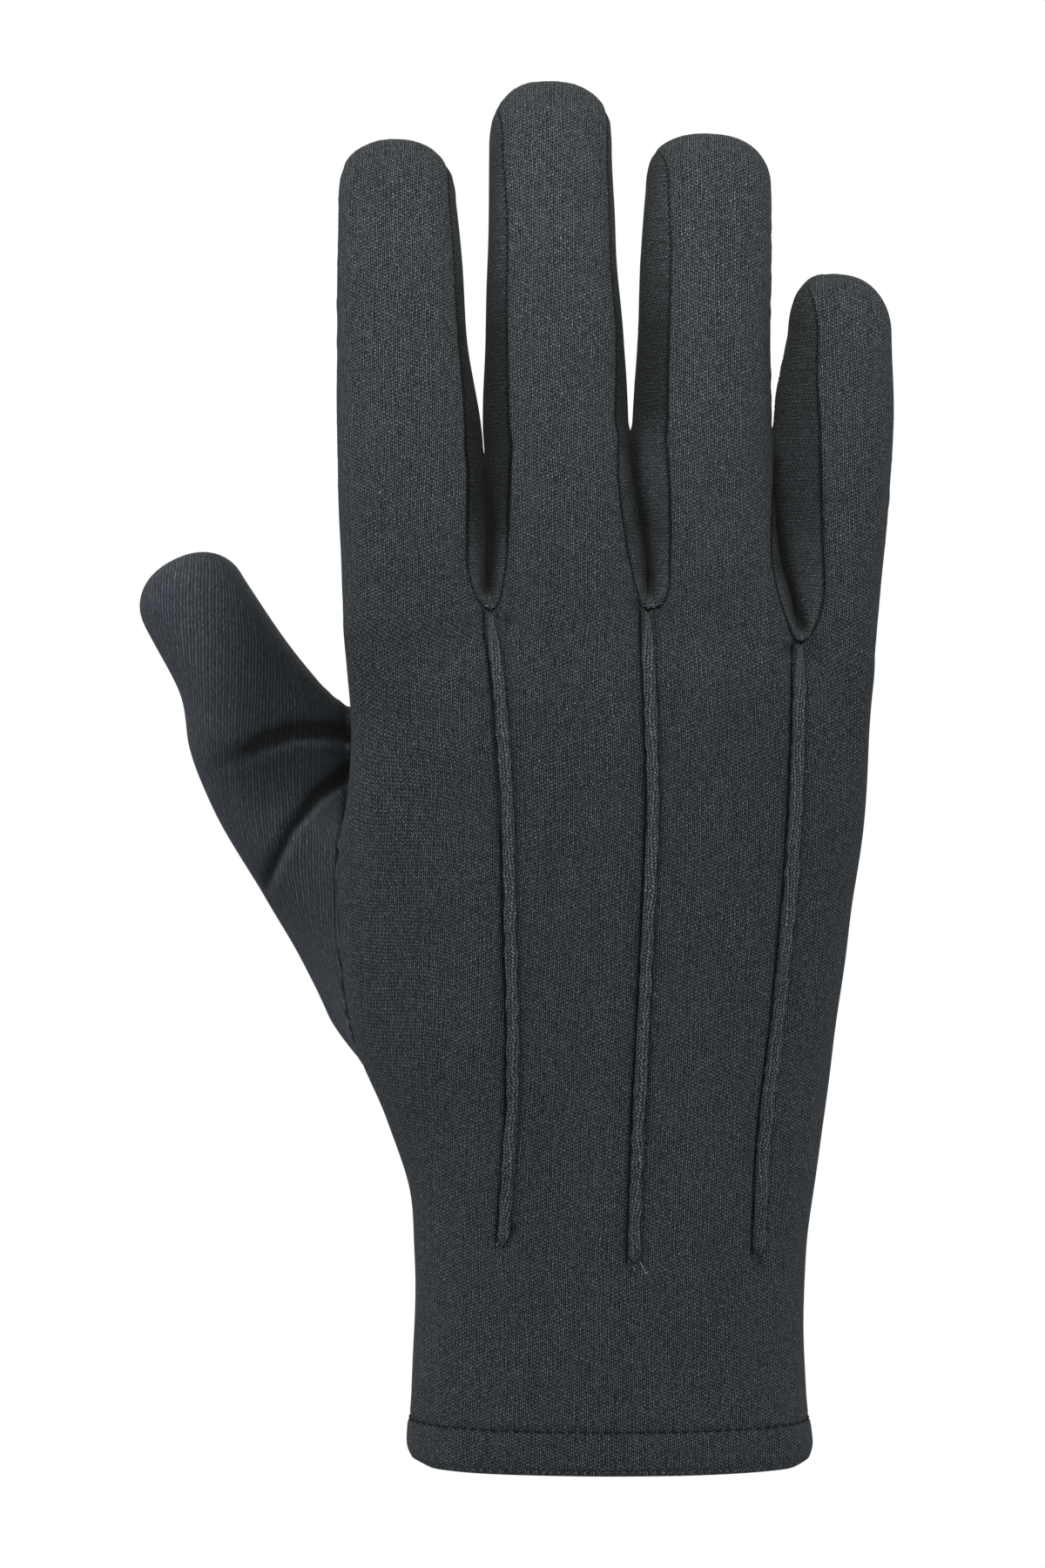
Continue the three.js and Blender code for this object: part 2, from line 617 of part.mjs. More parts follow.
// Directions from the free edges of a piece into the piece.
function edgeInsets(triangles) {
  const edges = new Map();
  for (const triangle of triangles) {
    for (let c = 0; c < 3; c += 1) {
      const from = triangle[c];
      const to = triangle[(c + 1) % 3];
      const twin = `${to},${from}`;
      if (edges.has(twin)) edges.delete(twin);
      else edges.set(`${from},${to}`, { from, to, triangle });
    }
  }
  const insets = new Map();
  for (const { from, to, triangle } of edges.values()) {
    const [a, b, c] = triangle.map((n) => points[n]);
    const normal = b.clone().sub(a).cross(c.clone().sub(a)).normalize();
    const inward = normal.cross(points[to].clone().sub(points[from])).normalize();
    for (const end of [from, to]) {
      if (!insets.has(end)) insets.set(end, []);
      insets.get(end).push(inward);
    }
  }
  const moves = new Map();
  for (const [point, [first, second]] of insets) {
    const both = first.clone().add(second);
    const reach = Math.min(2 / Math.max(both.length(), 0.01), 3);
    moves.set(point, both.setLength(reach * seamGap / 2));
  }
  return { edges: [...edges.values()], moves };
}

// Cloth of even thickness under part of the surface, its edges held back from the seams.
function clothSolid(piece) {
  const triangles = trianglesOf(piece);
  const { edges, moves } = edgeInsets(triangles);
  const used = [...new Set(triangles.flat())];
  const place = new Map(used.map((point, n) => [point, n]));
  const under = used.length;
  const positions = [];
  for (const depth of [0, wall]) {
    for (const n of used) {
      const spot = points[n].clone().addScaledVector(outward[n], -depth);
      if (moves.has(n)) spot.add(moves.get(n));
      positions.push(spot.x, spot.y, spot.z);
    }
  }
  const index = [];
  for (const triangle of triangles) {
    const [a, b, c] = triangle.map((n) => place.get(n));
    index.push(a, b, c, under + a, under + c, under + b);
  }
  // Both sides of a seam split their edge faces along the same diagonal, so the gap stays even.
  for (const edge of edges) {
    const from = place.get(edge.from);
    const to = place.get(edge.to);
    if (edge.from < edge.to) {
      index.push(from, under + from, under + to, from, under + to, to);
    } else {
      index.push(to, from, under + from, to, under + from, under + to);
    }
  }
  return solid(positions, index);
}

function solid(positions, index) {
  const geometry = new THREE.BufferGeometry();
  geometry.setAttribute('position', new THREE.Float32BufferAttribute(positions, 3));
  geometry.setIndex(index);
  geometry.computeVertexNormals();
  return geometry;
}

// A closed body through rings of points, with flat ends, or joined into a hoop.
function ringSolid(rings, hoop) {
  const count = rings[0].length;
  const positions = rings.flat().flatMap((p) => [p.x, p.y, p.z]);
  const index = [];
  const steps = hoop ? rings.length : rings.length - 1;
  for (let r = 0; r < steps; r += 1) {
    const next = (r + 1) % rings.length;
    for (let c = 0; c < count; c += 1) {
      const a = r * count + c;
      const b = r * count + (c + 1) % count;
      const d = next * count + c;
      const e = next * count + (c + 1) % count;
      index.push(a, b, e, a, e, d);
    }
  }
  if (!hoop) {
    const last = (rings.length - 1) * count;
    for (let c = 1; c < count - 1; c += 1) {
      index.push(0, c + 1, c);
      index.push(last, last + c, last + c + 1);
    }
  }
  return solid(positions, index);
}

// The turned-up hem: round fold at the bottom, then one ply up the inside of the cuff.
function hemSolid() {
  const inside = wall + seamGap;
  const thickness = inside + wall;
  const profile = [
    { depth: 0, z: foldHeight },
    { depth: 0, z: curl },
    { depth: curl, z: 0 },
    { depth: thickness - curl, z: 0 },
    { depth: thickness, z: curl },
    { depth: thickness, z: hemHeight },
    { depth: inside, z: hemHeight },
    { depth: inside, z: foldHeight },
  ];
  const foot = grid[grid.length - 1];
  const above = grid[grid.length - 2];
  const rings = [];
  for (let i = 0; i < handColumns; i += 1) {
    const level = outward[foot[i]].clone().setZ(0).normalize();
    rings.push(profile.map(({ depth, z }) => {
      const up = Math.max(0, z - panelFoot) / (points[above[i]].z - panelFoot);
      const spot = points[foot[i]].clone().lerp(points[above[i]], up);
      return spot.addScaledVector(level, -depth).setZ(z);
    }));
  }
  return ringSolid(rings, true);
}

// A raised tuck along one column of the back panel, narrow where it leaves the crotch.
function tuckSolid(k) {
  const column = (k + 1) * fingerColumns;
  const spine = [];
  for (let j = 1; j < grid.length; j += 1) {
    const point = points[grid[j][column]];
    const before = points[grid[j - 1][column]];
    if (point.z < tuckEnd) {
      const part = (before.z - tuckEnd) / (before.z - point.z);
      const normal = outward[grid[j - 1][column]].clone().lerp(outward[grid[j][column]], part);
      spine.push({ point: before.clone().lerp(point, part), normal: normal.normalize() });
      break;
    }
    spine.push({ point, normal: outward[grid[j][column]] });
  }
  const rings = spine.map(({ point, normal }, n) => {
    const before = spine[Math.max(n - 1, 0)].point;
    const after = spine[Math.min(n + 1, spine.length - 1)].point;
    const across = after.clone().sub(before).cross(normal).normalize();
    const taper = n === spine.length - 1 ? tuckStop : tuckStart[n] ?? 1;
    return tuckSection.map(([side, up]) => point.clone()
      .addScaledVector(across, side * tuckWidth * taper)
      .addScaledVector(normal, seamGap + up * tuckHeight * taper));
  });
  return ringSolid(rings, false);
}

const charcoal = { roughness: 0.95, metalness: 0 };
const cloth = new THREE.MeshStandardMaterial({ color: 0x383c40, ...charcoal });
const sideCloth = new THREE.MeshStandardMaterial({ color: 0x2c2e30, ...charcoal });

function addPiece(group, name, geometry, material) {
  const mesh = new THREE.Mesh(geometry, material);
  mesh.name = name;
  group.add(mesh);
}

const glove = new THREE.Group();
addPiece(glove, 'back_panel', clothSolid('back_panel'), cloth);
addPiece(glove, 'palm_panel', clothSolid('palm_panel'), cloth);
addPiece(glove, 'thumb', clothSolid('thumb'), cloth);
for (const name of forks) addPiece(glove, name, clothSolid(name), sideCloth);
tucks.forEach((tuck, k) => addPiece(glove, tuck.name, tuckSolid(k), cloth));
addPiece(glove, 'cuff_hem', hemSolid(), cloth);

export default glove;
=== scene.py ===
import math

import bpy
import numpy as np
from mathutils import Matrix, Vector
from mathutils.kdtree import KDTree


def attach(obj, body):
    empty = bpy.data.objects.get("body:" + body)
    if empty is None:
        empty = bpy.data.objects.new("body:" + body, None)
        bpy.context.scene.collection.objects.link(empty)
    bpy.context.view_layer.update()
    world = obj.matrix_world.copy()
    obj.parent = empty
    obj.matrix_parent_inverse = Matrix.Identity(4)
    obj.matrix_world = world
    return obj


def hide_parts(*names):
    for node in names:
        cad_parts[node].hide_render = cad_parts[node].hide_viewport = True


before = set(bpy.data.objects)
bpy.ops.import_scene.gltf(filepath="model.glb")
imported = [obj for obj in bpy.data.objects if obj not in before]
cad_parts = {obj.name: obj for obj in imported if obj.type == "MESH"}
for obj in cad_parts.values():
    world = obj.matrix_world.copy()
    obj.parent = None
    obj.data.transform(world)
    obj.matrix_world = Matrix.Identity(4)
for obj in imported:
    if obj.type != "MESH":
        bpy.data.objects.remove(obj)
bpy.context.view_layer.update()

# A right dress glove, seen with its back to the camera.
# The tables are in millimetres: z runs from the cuff to the fingertips, x towards the
# little finger, y towards the palm. Meshes are made in metres.

# Camera, set where the photograph was taken from
view = {
    "width": 1200, "height": 1800,      # the photograph's frame in pixels
    "pixel": 0.15,                      # millimetres a pixel at the glove's middle
    "cuffX": 701, "cuffY": 1676,        # pixel of the frame's origin
    "distance": 800,
    "sensor": 36,
}


def addCamera():
    centreX = (view["width"] / 2 - view["cuffX"]) * view["pixel"]
    centreZ = (view["cuffY"] - view["height"] / 2) * view["pixel"]
    data = bpy.data.cameras.new("photoCamera")
    data.sensor_width = view["sensor"]
    data.lens = view["sensor"] * view["distance"] / (view["height"] * view["pixel"])
    camera = bpy.data.objects.new("photoCamera", data)
    camera.location = (centreX / 1000, -view["distance"] / 1000, centreZ / 1000)
    camera.rotation_euler = (math.pi / 2, 0, 0)
    bpy.context.scene.collection.objects.link(camera)
    bpy.context.scene.camera = camera


addCamera()
print("camera set")

# The glove's cloth and seams
glove = {
    "wall": 0.95,         # thickness of the knit
    "sideSeam": 102,      # where back meets palm, degrees from the middle of the back
    "roundness": 2.5,     # power of the fingers' oval sections
    "knuckle": 146,       # nominal height of the crotches
    "crotchAngle": 50,    # where a slit in the back ends, degrees round the finger
    "palmSeam": 132,      # palm side of the fourchettes, degrees from the middle of the back
    "palmRise": 4,        # the slits end this much higher on the palm
    "saddleRise": 2.2,    # how early the crotch climbs to that
    "leftCurve": [9.9, 14.9, 14.7],   # height over which the seam left of a crotch swings out
    "rightCurve": [9.9, 4.4, 12],     # the same for the seam on its right
    "throat": 3.2,        # the same for the cloth deeper in the crotch
    "throatFrom": 0.16,   # share of a fourchette's width where the throat begins
    "touchUnder": [170.4, 174.9, 174.8],  # neighbouring fingers touch below these heights
    "touchOver": 4,       # they start to draw together this much higher
    "touchFade": 4.5,
    "press": [0.3, 0.7, 0.3],         # how far they press into each other
    "pressFade": 3,
    "knuckleFade": 9,     # height over which the finger widths fade into the body
    "valleyFade": 8,      # height over which the valleys between them fill up
    "sideUnits": 6, "sideFade": 18,       # more of it beside the side seams
    "levelOut": 45,       # height over which the rows under the crotches become level
    "tipSetBack": 1.3,    # the fingertip seam lies this far towards the palm
    "slits": [144, 146, 146.1, 140.6, 137],   # heights of the three crotches and both sides
}

# Thumb hole and thumb
thumbSizes = {
    "holeTop": 129.5, "holeFoot": 65.0,
    "holeUnits": 5,       # units of column count across the hole
    "holeEnds": 24,       # degrees round the glove that it takes at its top and foot
    "holeSwell": 26,      # degrees more at half its height
    "edgeTurn": 130,      # degrees of the thumb's section that grow from a long edge
    "tip": 8.2,           # length of the rounded end
    "tipPower": 2.2,
    "tipRows": 15,
    "settle": 1.0,        # rows over which the gusset leaves the body
    "seamTurn": 18,       # degrees by which its seam comes forward beside the back
    "seamTop": 113, "seamFoot": 65.5,       # heights between which it does
    "seamFade": 9,
    "frontTop": 117,      # above this the thumb lies behind the body's edge
    "frontFade": 12,
}

# How finely the surface is made
mesh = {
    "step": 0.66,         # millimetres between rows
    "shares": [0, 0.012, 0.024, 0.036, 0.049, 0.063, 0.081, 0.104, 0.132, 1 / 6,
               0.21, 0.26, 0.32, 0.38, 0.44, 0.5],
    "forkShares": [0, 0.018, 0.04, 0.07, 0.11, 0.16, 0.22, 0.3, 0.4, 0.5],
    "domeRows": 20,       # over a fingertip
    "thumbRows": 126,
    "cell": 6,            # units of column count across one finger
    "foot": 0.9,          # height where the panels turn into the hem's fold
    "ringBlend": 0.1,     # share of a cell that is drawn to the next cell's corner
    "saddleBlend": 0.3,   # the same across a fourchette at the crotch
    "fingerBlend": 4,     # height over which a finger leaves the ring of the crotches
    "crowding": 0.3,      # how much closer its rows lie there
    "smoothing": 6,       # rounds of smoothing over the joints of the tables
    "joinSmoothing": 30,  # more of them where the fingers meet the body
    "joinFull": 5, "joinFade": 5,     # distance from that line with all of it, then less
    "lipClear": 1.2, "lipFade": 3,    # none of it this near a crotch
    "joinBack": 0.42,     # how far each of its rounds moves back out
}

handColumns = ("z", "left", "right", "back", "palm", "oval")
handRows = [
    (0, -34.8, 34.7, -20.0, 20.0, 2.2),
    (4, -34.9, 34.5, -20.2, 20.2, 2.2),
    (12, -34.2, 33.5, -20.0, 20.0, 2.2),
    (24, -33.7, 33.0, -19.6, 19.8, 2.2),
    (36, -33.8, 33.8, -19.3, 19.8, 2.25),
    (47, -34.8, 35.1, -18.9, 20.2, 2.3),
    (59, -38.7, 36.7, -18.4, 20.6, 2.35),
    (71, -43.8, 38.2, -17.8, 20.2, 2.4),
    (82, -46.0, 39.9, -17.2, 19.2, 2.45),
    (92, -47.0, 41.3, -16.7, 18.0, 2.5),
    (103, -47.2, 42.9, -16.0, 16.6, 2.5),
    (114, -45.3, 43.9, -15.2, 15.2, 2.5),
    (126, -44.7, 44.5, -14.3, 13.9, 2.55),
    (137, -45.3, 45.3, -13.3, 12.9, 2.6),
    (147, -45.9, 46.4, -12.2, 12.2, 2.6),
]

# The raised tucks: how far each lies from the middle as it runs down the back
tuckColumns = ("z", "x")
tuckLines = {
    "pintuck_index": [(39, -18.5), (49, -17.8), (67, -16.8), (90, -17.2), (114, -17.8),
                      (130, -18.9), (146, -20.3)],
    "pintuck_middle": [(34, 3.6), (38, 3.6), (55, 4.2), (79, 5.4), (102, 6.5), (114, 6.9), (130, 6.5),
                       (146, 6.0)],
    "pintuck_ring": [(34, 25.0), (38, 25.0), (55, 25.7), (79, 28.5), (102, 30.6), (114, 31.3),
                     (127, 31.8), (140.6, 32.1)],
}

# The fingers: outline from the front, middle and half depth from the side, and the seams
# of the back panel in degrees from the middle of the back
fingerColumns = ("z", "left", "right", "middle", "half", "from", "to")
fingers = [
    {"tip": 227.7, "lean": -0.7, "tipLine": 0.8, "roll": 3, "dome": 2.25, "rows": [
        (142, -45.7, -20.6, 0.0, 11.4, -102, 42),
        (147, -45.9, -20.9, 0.0, 11.3, -102, 42),
        (152, -46.2, -21.4, 0.0, 11.2, -102, 42),
        (161, -46.65, -21.6, 0.1, 11.0, -102, 42),
        (171, -46.9, -21.85, 0.3, 10.7, -102, 45),
        (178, -47.1, -22.35, 0.6, 10.4, -102, 49),
        (192, -47.1, -24.5, 1.2, 9.8, -102, 56),
        (206, -47.1, -25.5, 2.0, 9.3, -102, 58),
        (217, -46.95, -26.7, 2.7, 8.9, -102, 60),
    ]},
    {"tip": 237.8, "lean": 0, "tipLine": 0.82, "roll": 9, "rows": [
        (142, -20.0, 5.8, 0.0, 12.0, -46, 42),
        (147, -20.4, 5.9, 0.0, 11.9, -46, 42),
        (152, -20.9, 6.1, 0.0, 11.8, -46, 42),
        (158, -20.9, 5.6, 0.1, 11.7, -43, 42),
        (164, -21.15, 4.3, 0.1, 11.5, -39, 43),
        (171, -21.4, 3.1, 0.3, 11.2, -35, 46),
        (178, -21.9, 3.2, 0.5, 10.9, -36, 50),
        (192, -21.6, 2.4, 1.0, 10.3, -38, 58),
        (206, -21.15, 1.05, 1.7, 9.9, -39, 61),
        (216, -21.0, 0.7, 2.3, 9.6, -41, 62),
        (225.3, -20.85, 0.45, 2.9, 9.3, -48, 64),
    ]},
    {"tip": 228.6, "lean": -0.5, "tipLine": 0.76, "roll": 22, "rows": [
        (138, 6.3, 31.9, 0.0, 11.7, -38, 45),
        (143, 6.3, 31.6, 0.0, 11.6, -38, 46),
        (148, 6.45, 30.7, 0.0, 11.5, -38, 47),
        (154, 6.5, 29.1, 0.1, 11.3, -36, 53),
        (161, 5.3, 28.05, 0.2, 11.1, -28, 63),
        (167, 4.2, 27.55, 0.3, 10.9, -23, 76),
        (172, 3.6, 27.45, 0.5, 10.7, -22, 85),
        (178, 3.7, 27.6, 0.7, 10.4, -25, 90),
        (192, 4.65, 27.5, 1.3, 9.8, -28, 92),
        (206, 5.25, 27.6, 2.1, 9.3, -29, 92),
        (219, 6.15, 27.8, 2.9, 8.9, -36, 92),
    ]},
    {"tip": 204.6, "lean": -1.4, "tipLine": 0.55, "roll": 42, "dome": 1.95, "rows": [
        (134, 32.6, 45.0, 0.8, 10.4, -16, 102),
        (138, 32.5, 45.4, 0.8, 10.2, -14, 102),
        (143, 32.1, 45.9, 0.8, 10.0, -12, 102),
        (148, 31.2, 46.4, 0.9, 9.8, -10, 102),
        (154, 29.6, 47.0, 1.0, 9.6, -8, 102),
        (161, 28.55, 47.65, 1.1, 9.3, -7, 102),
        (167, 28.05, 48.1, 1.3, 9.1, -7, 102),
        (175, 27.95, 48.6, 1.7, 8.8, -9, 102),
        (184, 28.8, 48.9, 2.1, 8.5, -16, 102),
        (194, 30.8, 48.7, 2.7, 8.1, -24, 102),
    ]},
]

# The thumb: each row is a section between an outer and an inner edge seen from the front
thumbColumns = ("row", "outX", "outZ", "inX", "inZ", "middle", "half", "front")
thumbRows = [
    (0, -45.4, 66.0, -45.5, 129.8, 12.5, 8.5, -3.0),
    (1, -49.2, 75.9, -45.9, 130.1, 13.2, 9.5, -1.6),
    (2, -54.1, 85.9, -46.6, 130.6, 14.0, 10.4, 0.8),
    (3, -59.5, 95.0, -47.2, 131.1, 15.0, 11.2, 3.0),
    (4, -65.0, 104.2, -48.2, 131.7, 16.0, 11.3, 4.6),
    (5, -70.0, 113.3, -49.2, 132.6, 17.0, 11.0, 6.0),
    (6, -73.6, 122.5, -51.5, 134.8, 17.8, 10.5, 7.3),
    (7, -75.6, 132.4, -56.2, 140.6, 18.4, 10.0, 8.4),
    (8, -81.6, 144.0, -64.3, 152.8, 18.8, 9.4, 9.4),
]

forkNames = ["fourchette_index_middle", "fourchette_middle_ring", "fourchette_ring_little"]


# Reads one column of a table between its rows, on a smooth curve through them
def readColumn(rows, columns, name, at):
    keys = np.array([row[0] for row in rows], float)
    values = np.array([row[columns.index(name)] for row in rows], float)
    slopes = np.gradient(values)
    slopes[1:-1] = (values[2:] - values[:-2]) / (keys[2:] - keys[:-2])
    slopes[0] = (values[1] - values[0]) / (keys[1] - keys[0])
    slopes[-1] = (values[-1] - values[-2]) / (keys[-1] - keys[-2])
    at = np.clip(at, keys[0], keys[-1])
    k = np.clip(np.searchsorted(keys, at) - 1, 0, len(keys) - 2)
    step = keys[k + 1] - keys[k]
    t = (at - keys[k]) / step
    rise = values[k + 1] - values[k]
    bend = (1 - t) * (slopes[k] * step - rise) - t * (slopes[k + 1] * step - rise)
    return values[k] + t * rise + t * (1 - t) * bend


def signedPower(value, power):
    return np.sign(value) * np.abs(value) ** power


def mix(a, b, t):
    return a + (b - a) * t


def smoothStep(t):
    t = np.clip(t, 0, 1)
    return t * t * (3 - 2 * t)


# From 0 at a start up to 1 above it, or from 1 down to 0 at an end
def ramp(value, start, over):
    return smoothStep((value - start) / over)


def fall(value, end, over):
    return smoothStep((end - value) / over)


def bell(x, width):
    return np.exp(-(x / width) ** 2)


def unit(vectors):
    return vectors / np.maximum(np.linalg.norm(vectors, axis=-1, keepdims=True), 1e-9)


# Length of a path up to each of its points
def alongPath(path):
    return np.concatenate([[0], np.cumsum(np.linalg.norm(np.diff(path, axis=0), axis=1))])


# Repeats a grid's first column after its last
def closed(grid):
    return np.concatenate([grid, grid[:, :1]], axis=1)


def placeTree(places, numbers):
    tree = KDTree(len(places))
    for place, n in zip(places, numbers):
        tree.insert(place, int(n))
    tree.balance()
    return tree


def fingerColumn(k, name, z):
    return readColumn(fingers[k]["rows"], fingerColumns, name, z)


# Left and right edge of a finger, drawn to its neighbours where they touch
def fingerEdges(k, z):
    def drawn(n, edge):
        middle = (fingerColumn(n, "right", z) + fingerColumn(n + 1, "left", z)) / 2
        touch = fall(z, glove["touchUnder"][n] + glove["touchOver"], glove["touchFade"])
        return mix(edge, middle, touch), touch * glove["press"][n]

    left, right = fingerColumn(k, "left", z), fingerColumn(k, "right", z)
    if k > 0:
        left, press = drawn(k - 1, left)
        left = left - press * ramp(z, glove["slits"][k], glove["pressFade"])
    if k < len(fingers) - 1:
        right, press = drawn(k, right)
        right = right + press * ramp(z, glove["slits"][k + 1], glove["pressFade"])
    return left, right


# From 1 at a crotch to 0 above it, along a quarter of an ellipse
def roundOff(share):
    share = np.clip(share, 0, 1)
    return 1 - np.sqrt(1 - (1 - share) ** 2)


def handColumn(name, z):
    return readColumn(handRows, handColumns, name, z)


sides = ["back", "right", "palm", "left"]
lastFinger = len(fingers) - 1


# Corner angles of a finger's loop. Towards the crotch the seams swing together, over the
# tip they meet on the tip line.
def loopCorners(k, z, overTip):
    def swing(slit, curve):
        return roundOff((z - slit) / curve)

    crotch, palmSeam, slits = glove["crotchAngle"], glove["palmSeam"], glove["slits"]
    rise, roll = glove["palmRise"], fingers[k]["roll"]
    corners = [fingerColumn(k, "from", z), fingerColumn(k, "to", z),
               palmSeam + roll + 0 * z, 360 - palmSeam + roll + 0 * z]
    if k > 0:
        curve = glove["rightCurve"][k - 1]
        corners[0] = mix(corners[0], -crotch, swing(slits[k], curve))
        corners[3] = mix(corners[3], 180 + crotch, swing(slits[k] + rise, curve))
    else:
        corners[3] = corners[0] + 360
    if k < lastFinger:
        curve = glove["leftCurve"][k]
        corners[1] = mix(corners[1], crotch, swing(slits[k + 1], curve))
        corners[2] = mix(corners[2], 180 - crotch, swing(slits[k + 1] + rise, curve))
    else:
        corners[2] = corners[1]
    meet = [roll - 90, roll + 90, roll + 90, roll + 270]
    return [mix(angle, goal, overTip) for angle, goal in zip(corners, meet)]


def loopAngle(k, side, f, z, overTip):
    corners = loopCorners(k, z, overTip)
    corners.append(corners[0] + 360)
    c = sides.index(side)
    return np.radians(mix(corners[c], corners[c + 1], f))


def slitHeight(k, side, f):
    slits, rise = glove["slits"], glove["palmRise"]
    corners = [slits[k], slits[k + 1], slits[k + 1] + rise, slits[k] + rise]
    if k == 0:
        corners[3] = slits[0]
    if k == lastFinger:
        corners[2] = slits[-1]
    c = sides.index(side)
    share = f
    if side == "right":
        share = 1 - (1 - f) ** glove["saddleRise"]
    if side == "left":
        share = f ** glove["saddleRise"]
    return mix(corners[c], corners[(c + 1) % 4], share)


# Height over which the lip of a crotch opens out, at share f across one side of the loop
def lipCurve(k, side, f):
    atLeft = glove["rightCurve"][max(k - 1, 0)]
    atRight = glove["leftCurve"][min(k, lastFinger - 1)]
    inside = smoothStep(np.minimum(f, 1 - f) / glove["throatFrom"])
    if side == "back":
        return mix(atLeft, atRight, f)
    if side == "palm":
        return mix(atRight, atLeft, f)
    return mix(atRight if side == "right" else atLeft, glove["throat"], inside)


# Points on a finger: f across one side of its loop, t up from the crotch to the dome
def fingerPoints(k, side, f, t):
    foot = slitHeight(k, side, f)
    z = mix(foot, fingers[k]["rows"][-1][0], t)
    angle = loopAngle(k, side, f, z, 0)
    left, right = fingerEdges(k, z)
    lip = roundOff((z - foot) / lipCurve(k, side, f))
    power = 2 / glove["roundness"]
    opened = mix(1, math.sin(math.radians(glove["crotchAngle"])) ** -power, lip)
    across = signedPower(np.sin(angle), power) * opened * (right - left) / 2
    deep = signedPower(np.cos(angle), power) * fingerColumn(k, "half", z)
    x = np.clip((left + right) / 2 + across, left, right)
    return np.stack([x, fingerColumn(k, "middle", z) - deep, z], axis=-1)


# Points on the rounded fingertip: the loops flatten onto a line across the tip
def domePoints(k, side, f, degrees):
    finger = fingers[k]
    baseZ, left, right, middle, half = finger["rows"][-1][:5]
    power, turn = glove["roundness"], math.radians(finger["roll"])
    dome = finger.get("dome", power)
    flat = np.cos(np.radians(degrees))
    angle = loopAngle(k, side, f, baseZ + 0 * flat, 1 - flat)
    u = signedPower(np.sin(angle), 2 / power)
    v = -signedPower(np.cos(angle), 2 / power)
    wide = (u * math.cos(turn) + v * math.sin(turn)) * mix(finger["tipLine"], 1, flat)
    deep = (v * math.cos(turn) - u * math.sin(turn)) * flat
    nx = wide * math.cos(turn) - deep * math.sin(turn)
    ny = wide * math.sin(turn) + deep * math.cos(turn)
    height = np.maximum(0, 1 - np.abs(nx) ** power - np.abs(ny) ** power) ** (1 / dome)
    return np.stack([
        (left + right) / 2 + nx * (right - left) / 2 + finger["lean"] * (1 - flat),
        middle + ny * half + glove["tipSetBack"] * (1 - flat),
        baseZ + (finger["tip"] - baseZ) * height,
    ], axis=-1)


def mirrored(half):
    return np.array(half + [1 - share for share in reversed(half[:-1])])


halfShares = mesh["shares"]
shares = mirrored(halfShares)
forkShares = mirrored(mesh["forkShares"])
perCell = len(shares) - 1
backCount = perCell * 4
aroundCount = perCell * 8
unitCount = mesh["cell"] * 8
columnUnits = np.concatenate([mesh["cell"] * (m + shares[:-1]) for m in range(8)])


def cellOf(m):
    return ("back", m) if m < 4 else ("palm", 7 - m)


# The ring of points at the crotches, in which neighbouring fingers share their corners
def knuckleRing():
    cells = [fingerPoints(k, side, shares, 0.0) for side, k in map(cellOf, range(8))]
    for m in range(8):
        meeting = (cells[m][-1] + cells[(m + 1) % 8][0]) / 2
        nearEnd = bell(1 - shares, mesh["ringBlend"])[:, None]
        cells[m] = cells[m] + (meeting - cells[m][-1]) * nearEnd
        after = (m + 1) % 8
        cells[after] = cells[after] + (meeting - cells[after][0]) * nearEnd[::-1]
    return np.concatenate([cell[:-1] for cell in cells])


def tuckAngle(name, z):
    left, right = handColumn("left", z), handColumn("right", z)
    x = readColumn(tuckLines[name], tuckColumns, "x", z)
    share = (x - (left + right) / 2) / ((right - left) / 2)
    return np.degrees(np.arcsin(signedPower(share, handColumn("oval", z) / 2)))


def columnAngle(units, z):
    top, foot = thumbSizes["holeTop"], thumbSizes["holeFoot"]
    hole = (z - (top + foot) / 2) / ((top - foot) / 2)
    width = thumbSizes["holeEnds"]
    width = width + thumbSizes["holeSwell"] * np.sqrt(np.maximum(0, 1 - hole * hole))
    side, cell = glove["sideSeam"], mesh["cell"]
    forward = fall(z, thumbSizes["seamTop"], thumbSizes["seamFade"])
    forward = forward * ramp(z, thumbSizes["seamFoot"], thumbSizes["seamFade"])
    leftSide = side - thumbSizes["seamTurn"] * forward
    stops = [(0, -leftSide)]
    stops += [(cell * (n + 1), tuckAngle(name, z)) for n, name in enumerate(tuckLines)]
    stops += [(cell * 4, side + 0 * z), (unitCount - thumbSizes["holeUnits"], 360 - side - width),
              (unitCount, 360 - leftSide)]
    angle = np.zeros(z.shape)
    for (low, lowAngle), (high, highAngle) in zip(stops, stops[1:]):
        inside = (units >= low) & (units <= high)
        angle = np.where(inside, mix(lowAngle, highAngle, (units - low) / (high - low)), angle)
    return angle


# Points on the body below the crotches. The rows level out on their way to the cuff.
def handPoints(top, heights):
    knuckle = glove["knuckle"]
    level = np.maximum(0, 1 - (knuckle - heights) / glove["levelOut"]) ** 2
    z = heights[:, None] + (top[None, :, 2] - knuckle) * level[:, None]
    angle = np.radians(columnAngle(columnUnits[None, :], z))
    left, right = handColumn("left", z), handColumn("right", z)
    back, palm = handColumn("back", z), handColumn("palm", z)
    power = 2 / handColumn("oval", z)
    x = (left + right) / 2 + signedPower(np.sin(angle), power) * (right - left) / 2
    y = (back + palm) / 2 - signedPower(np.cos(angle), power) * (palm - back) / 2

    def near(fade):
        return np.exp(-(((top[None, :, 2] - z) / fade) ** 2) * 2)

    fromSide = np.minimum(columnUnits % (unitCount / 2), -columnUnits % (unitCount / 2))
    beside = smoothStep(1 - fromSide / glove["sideUnits"])
    x = mix(x, top[None, :, 0], near(glove["knuckleFade"]))
    y = mix(y, top[None, :, 1], near(glove["valleyFade"] + glove["sideFade"] * beside[None, :]))
    return np.stack([x, y, z], axis=-1)


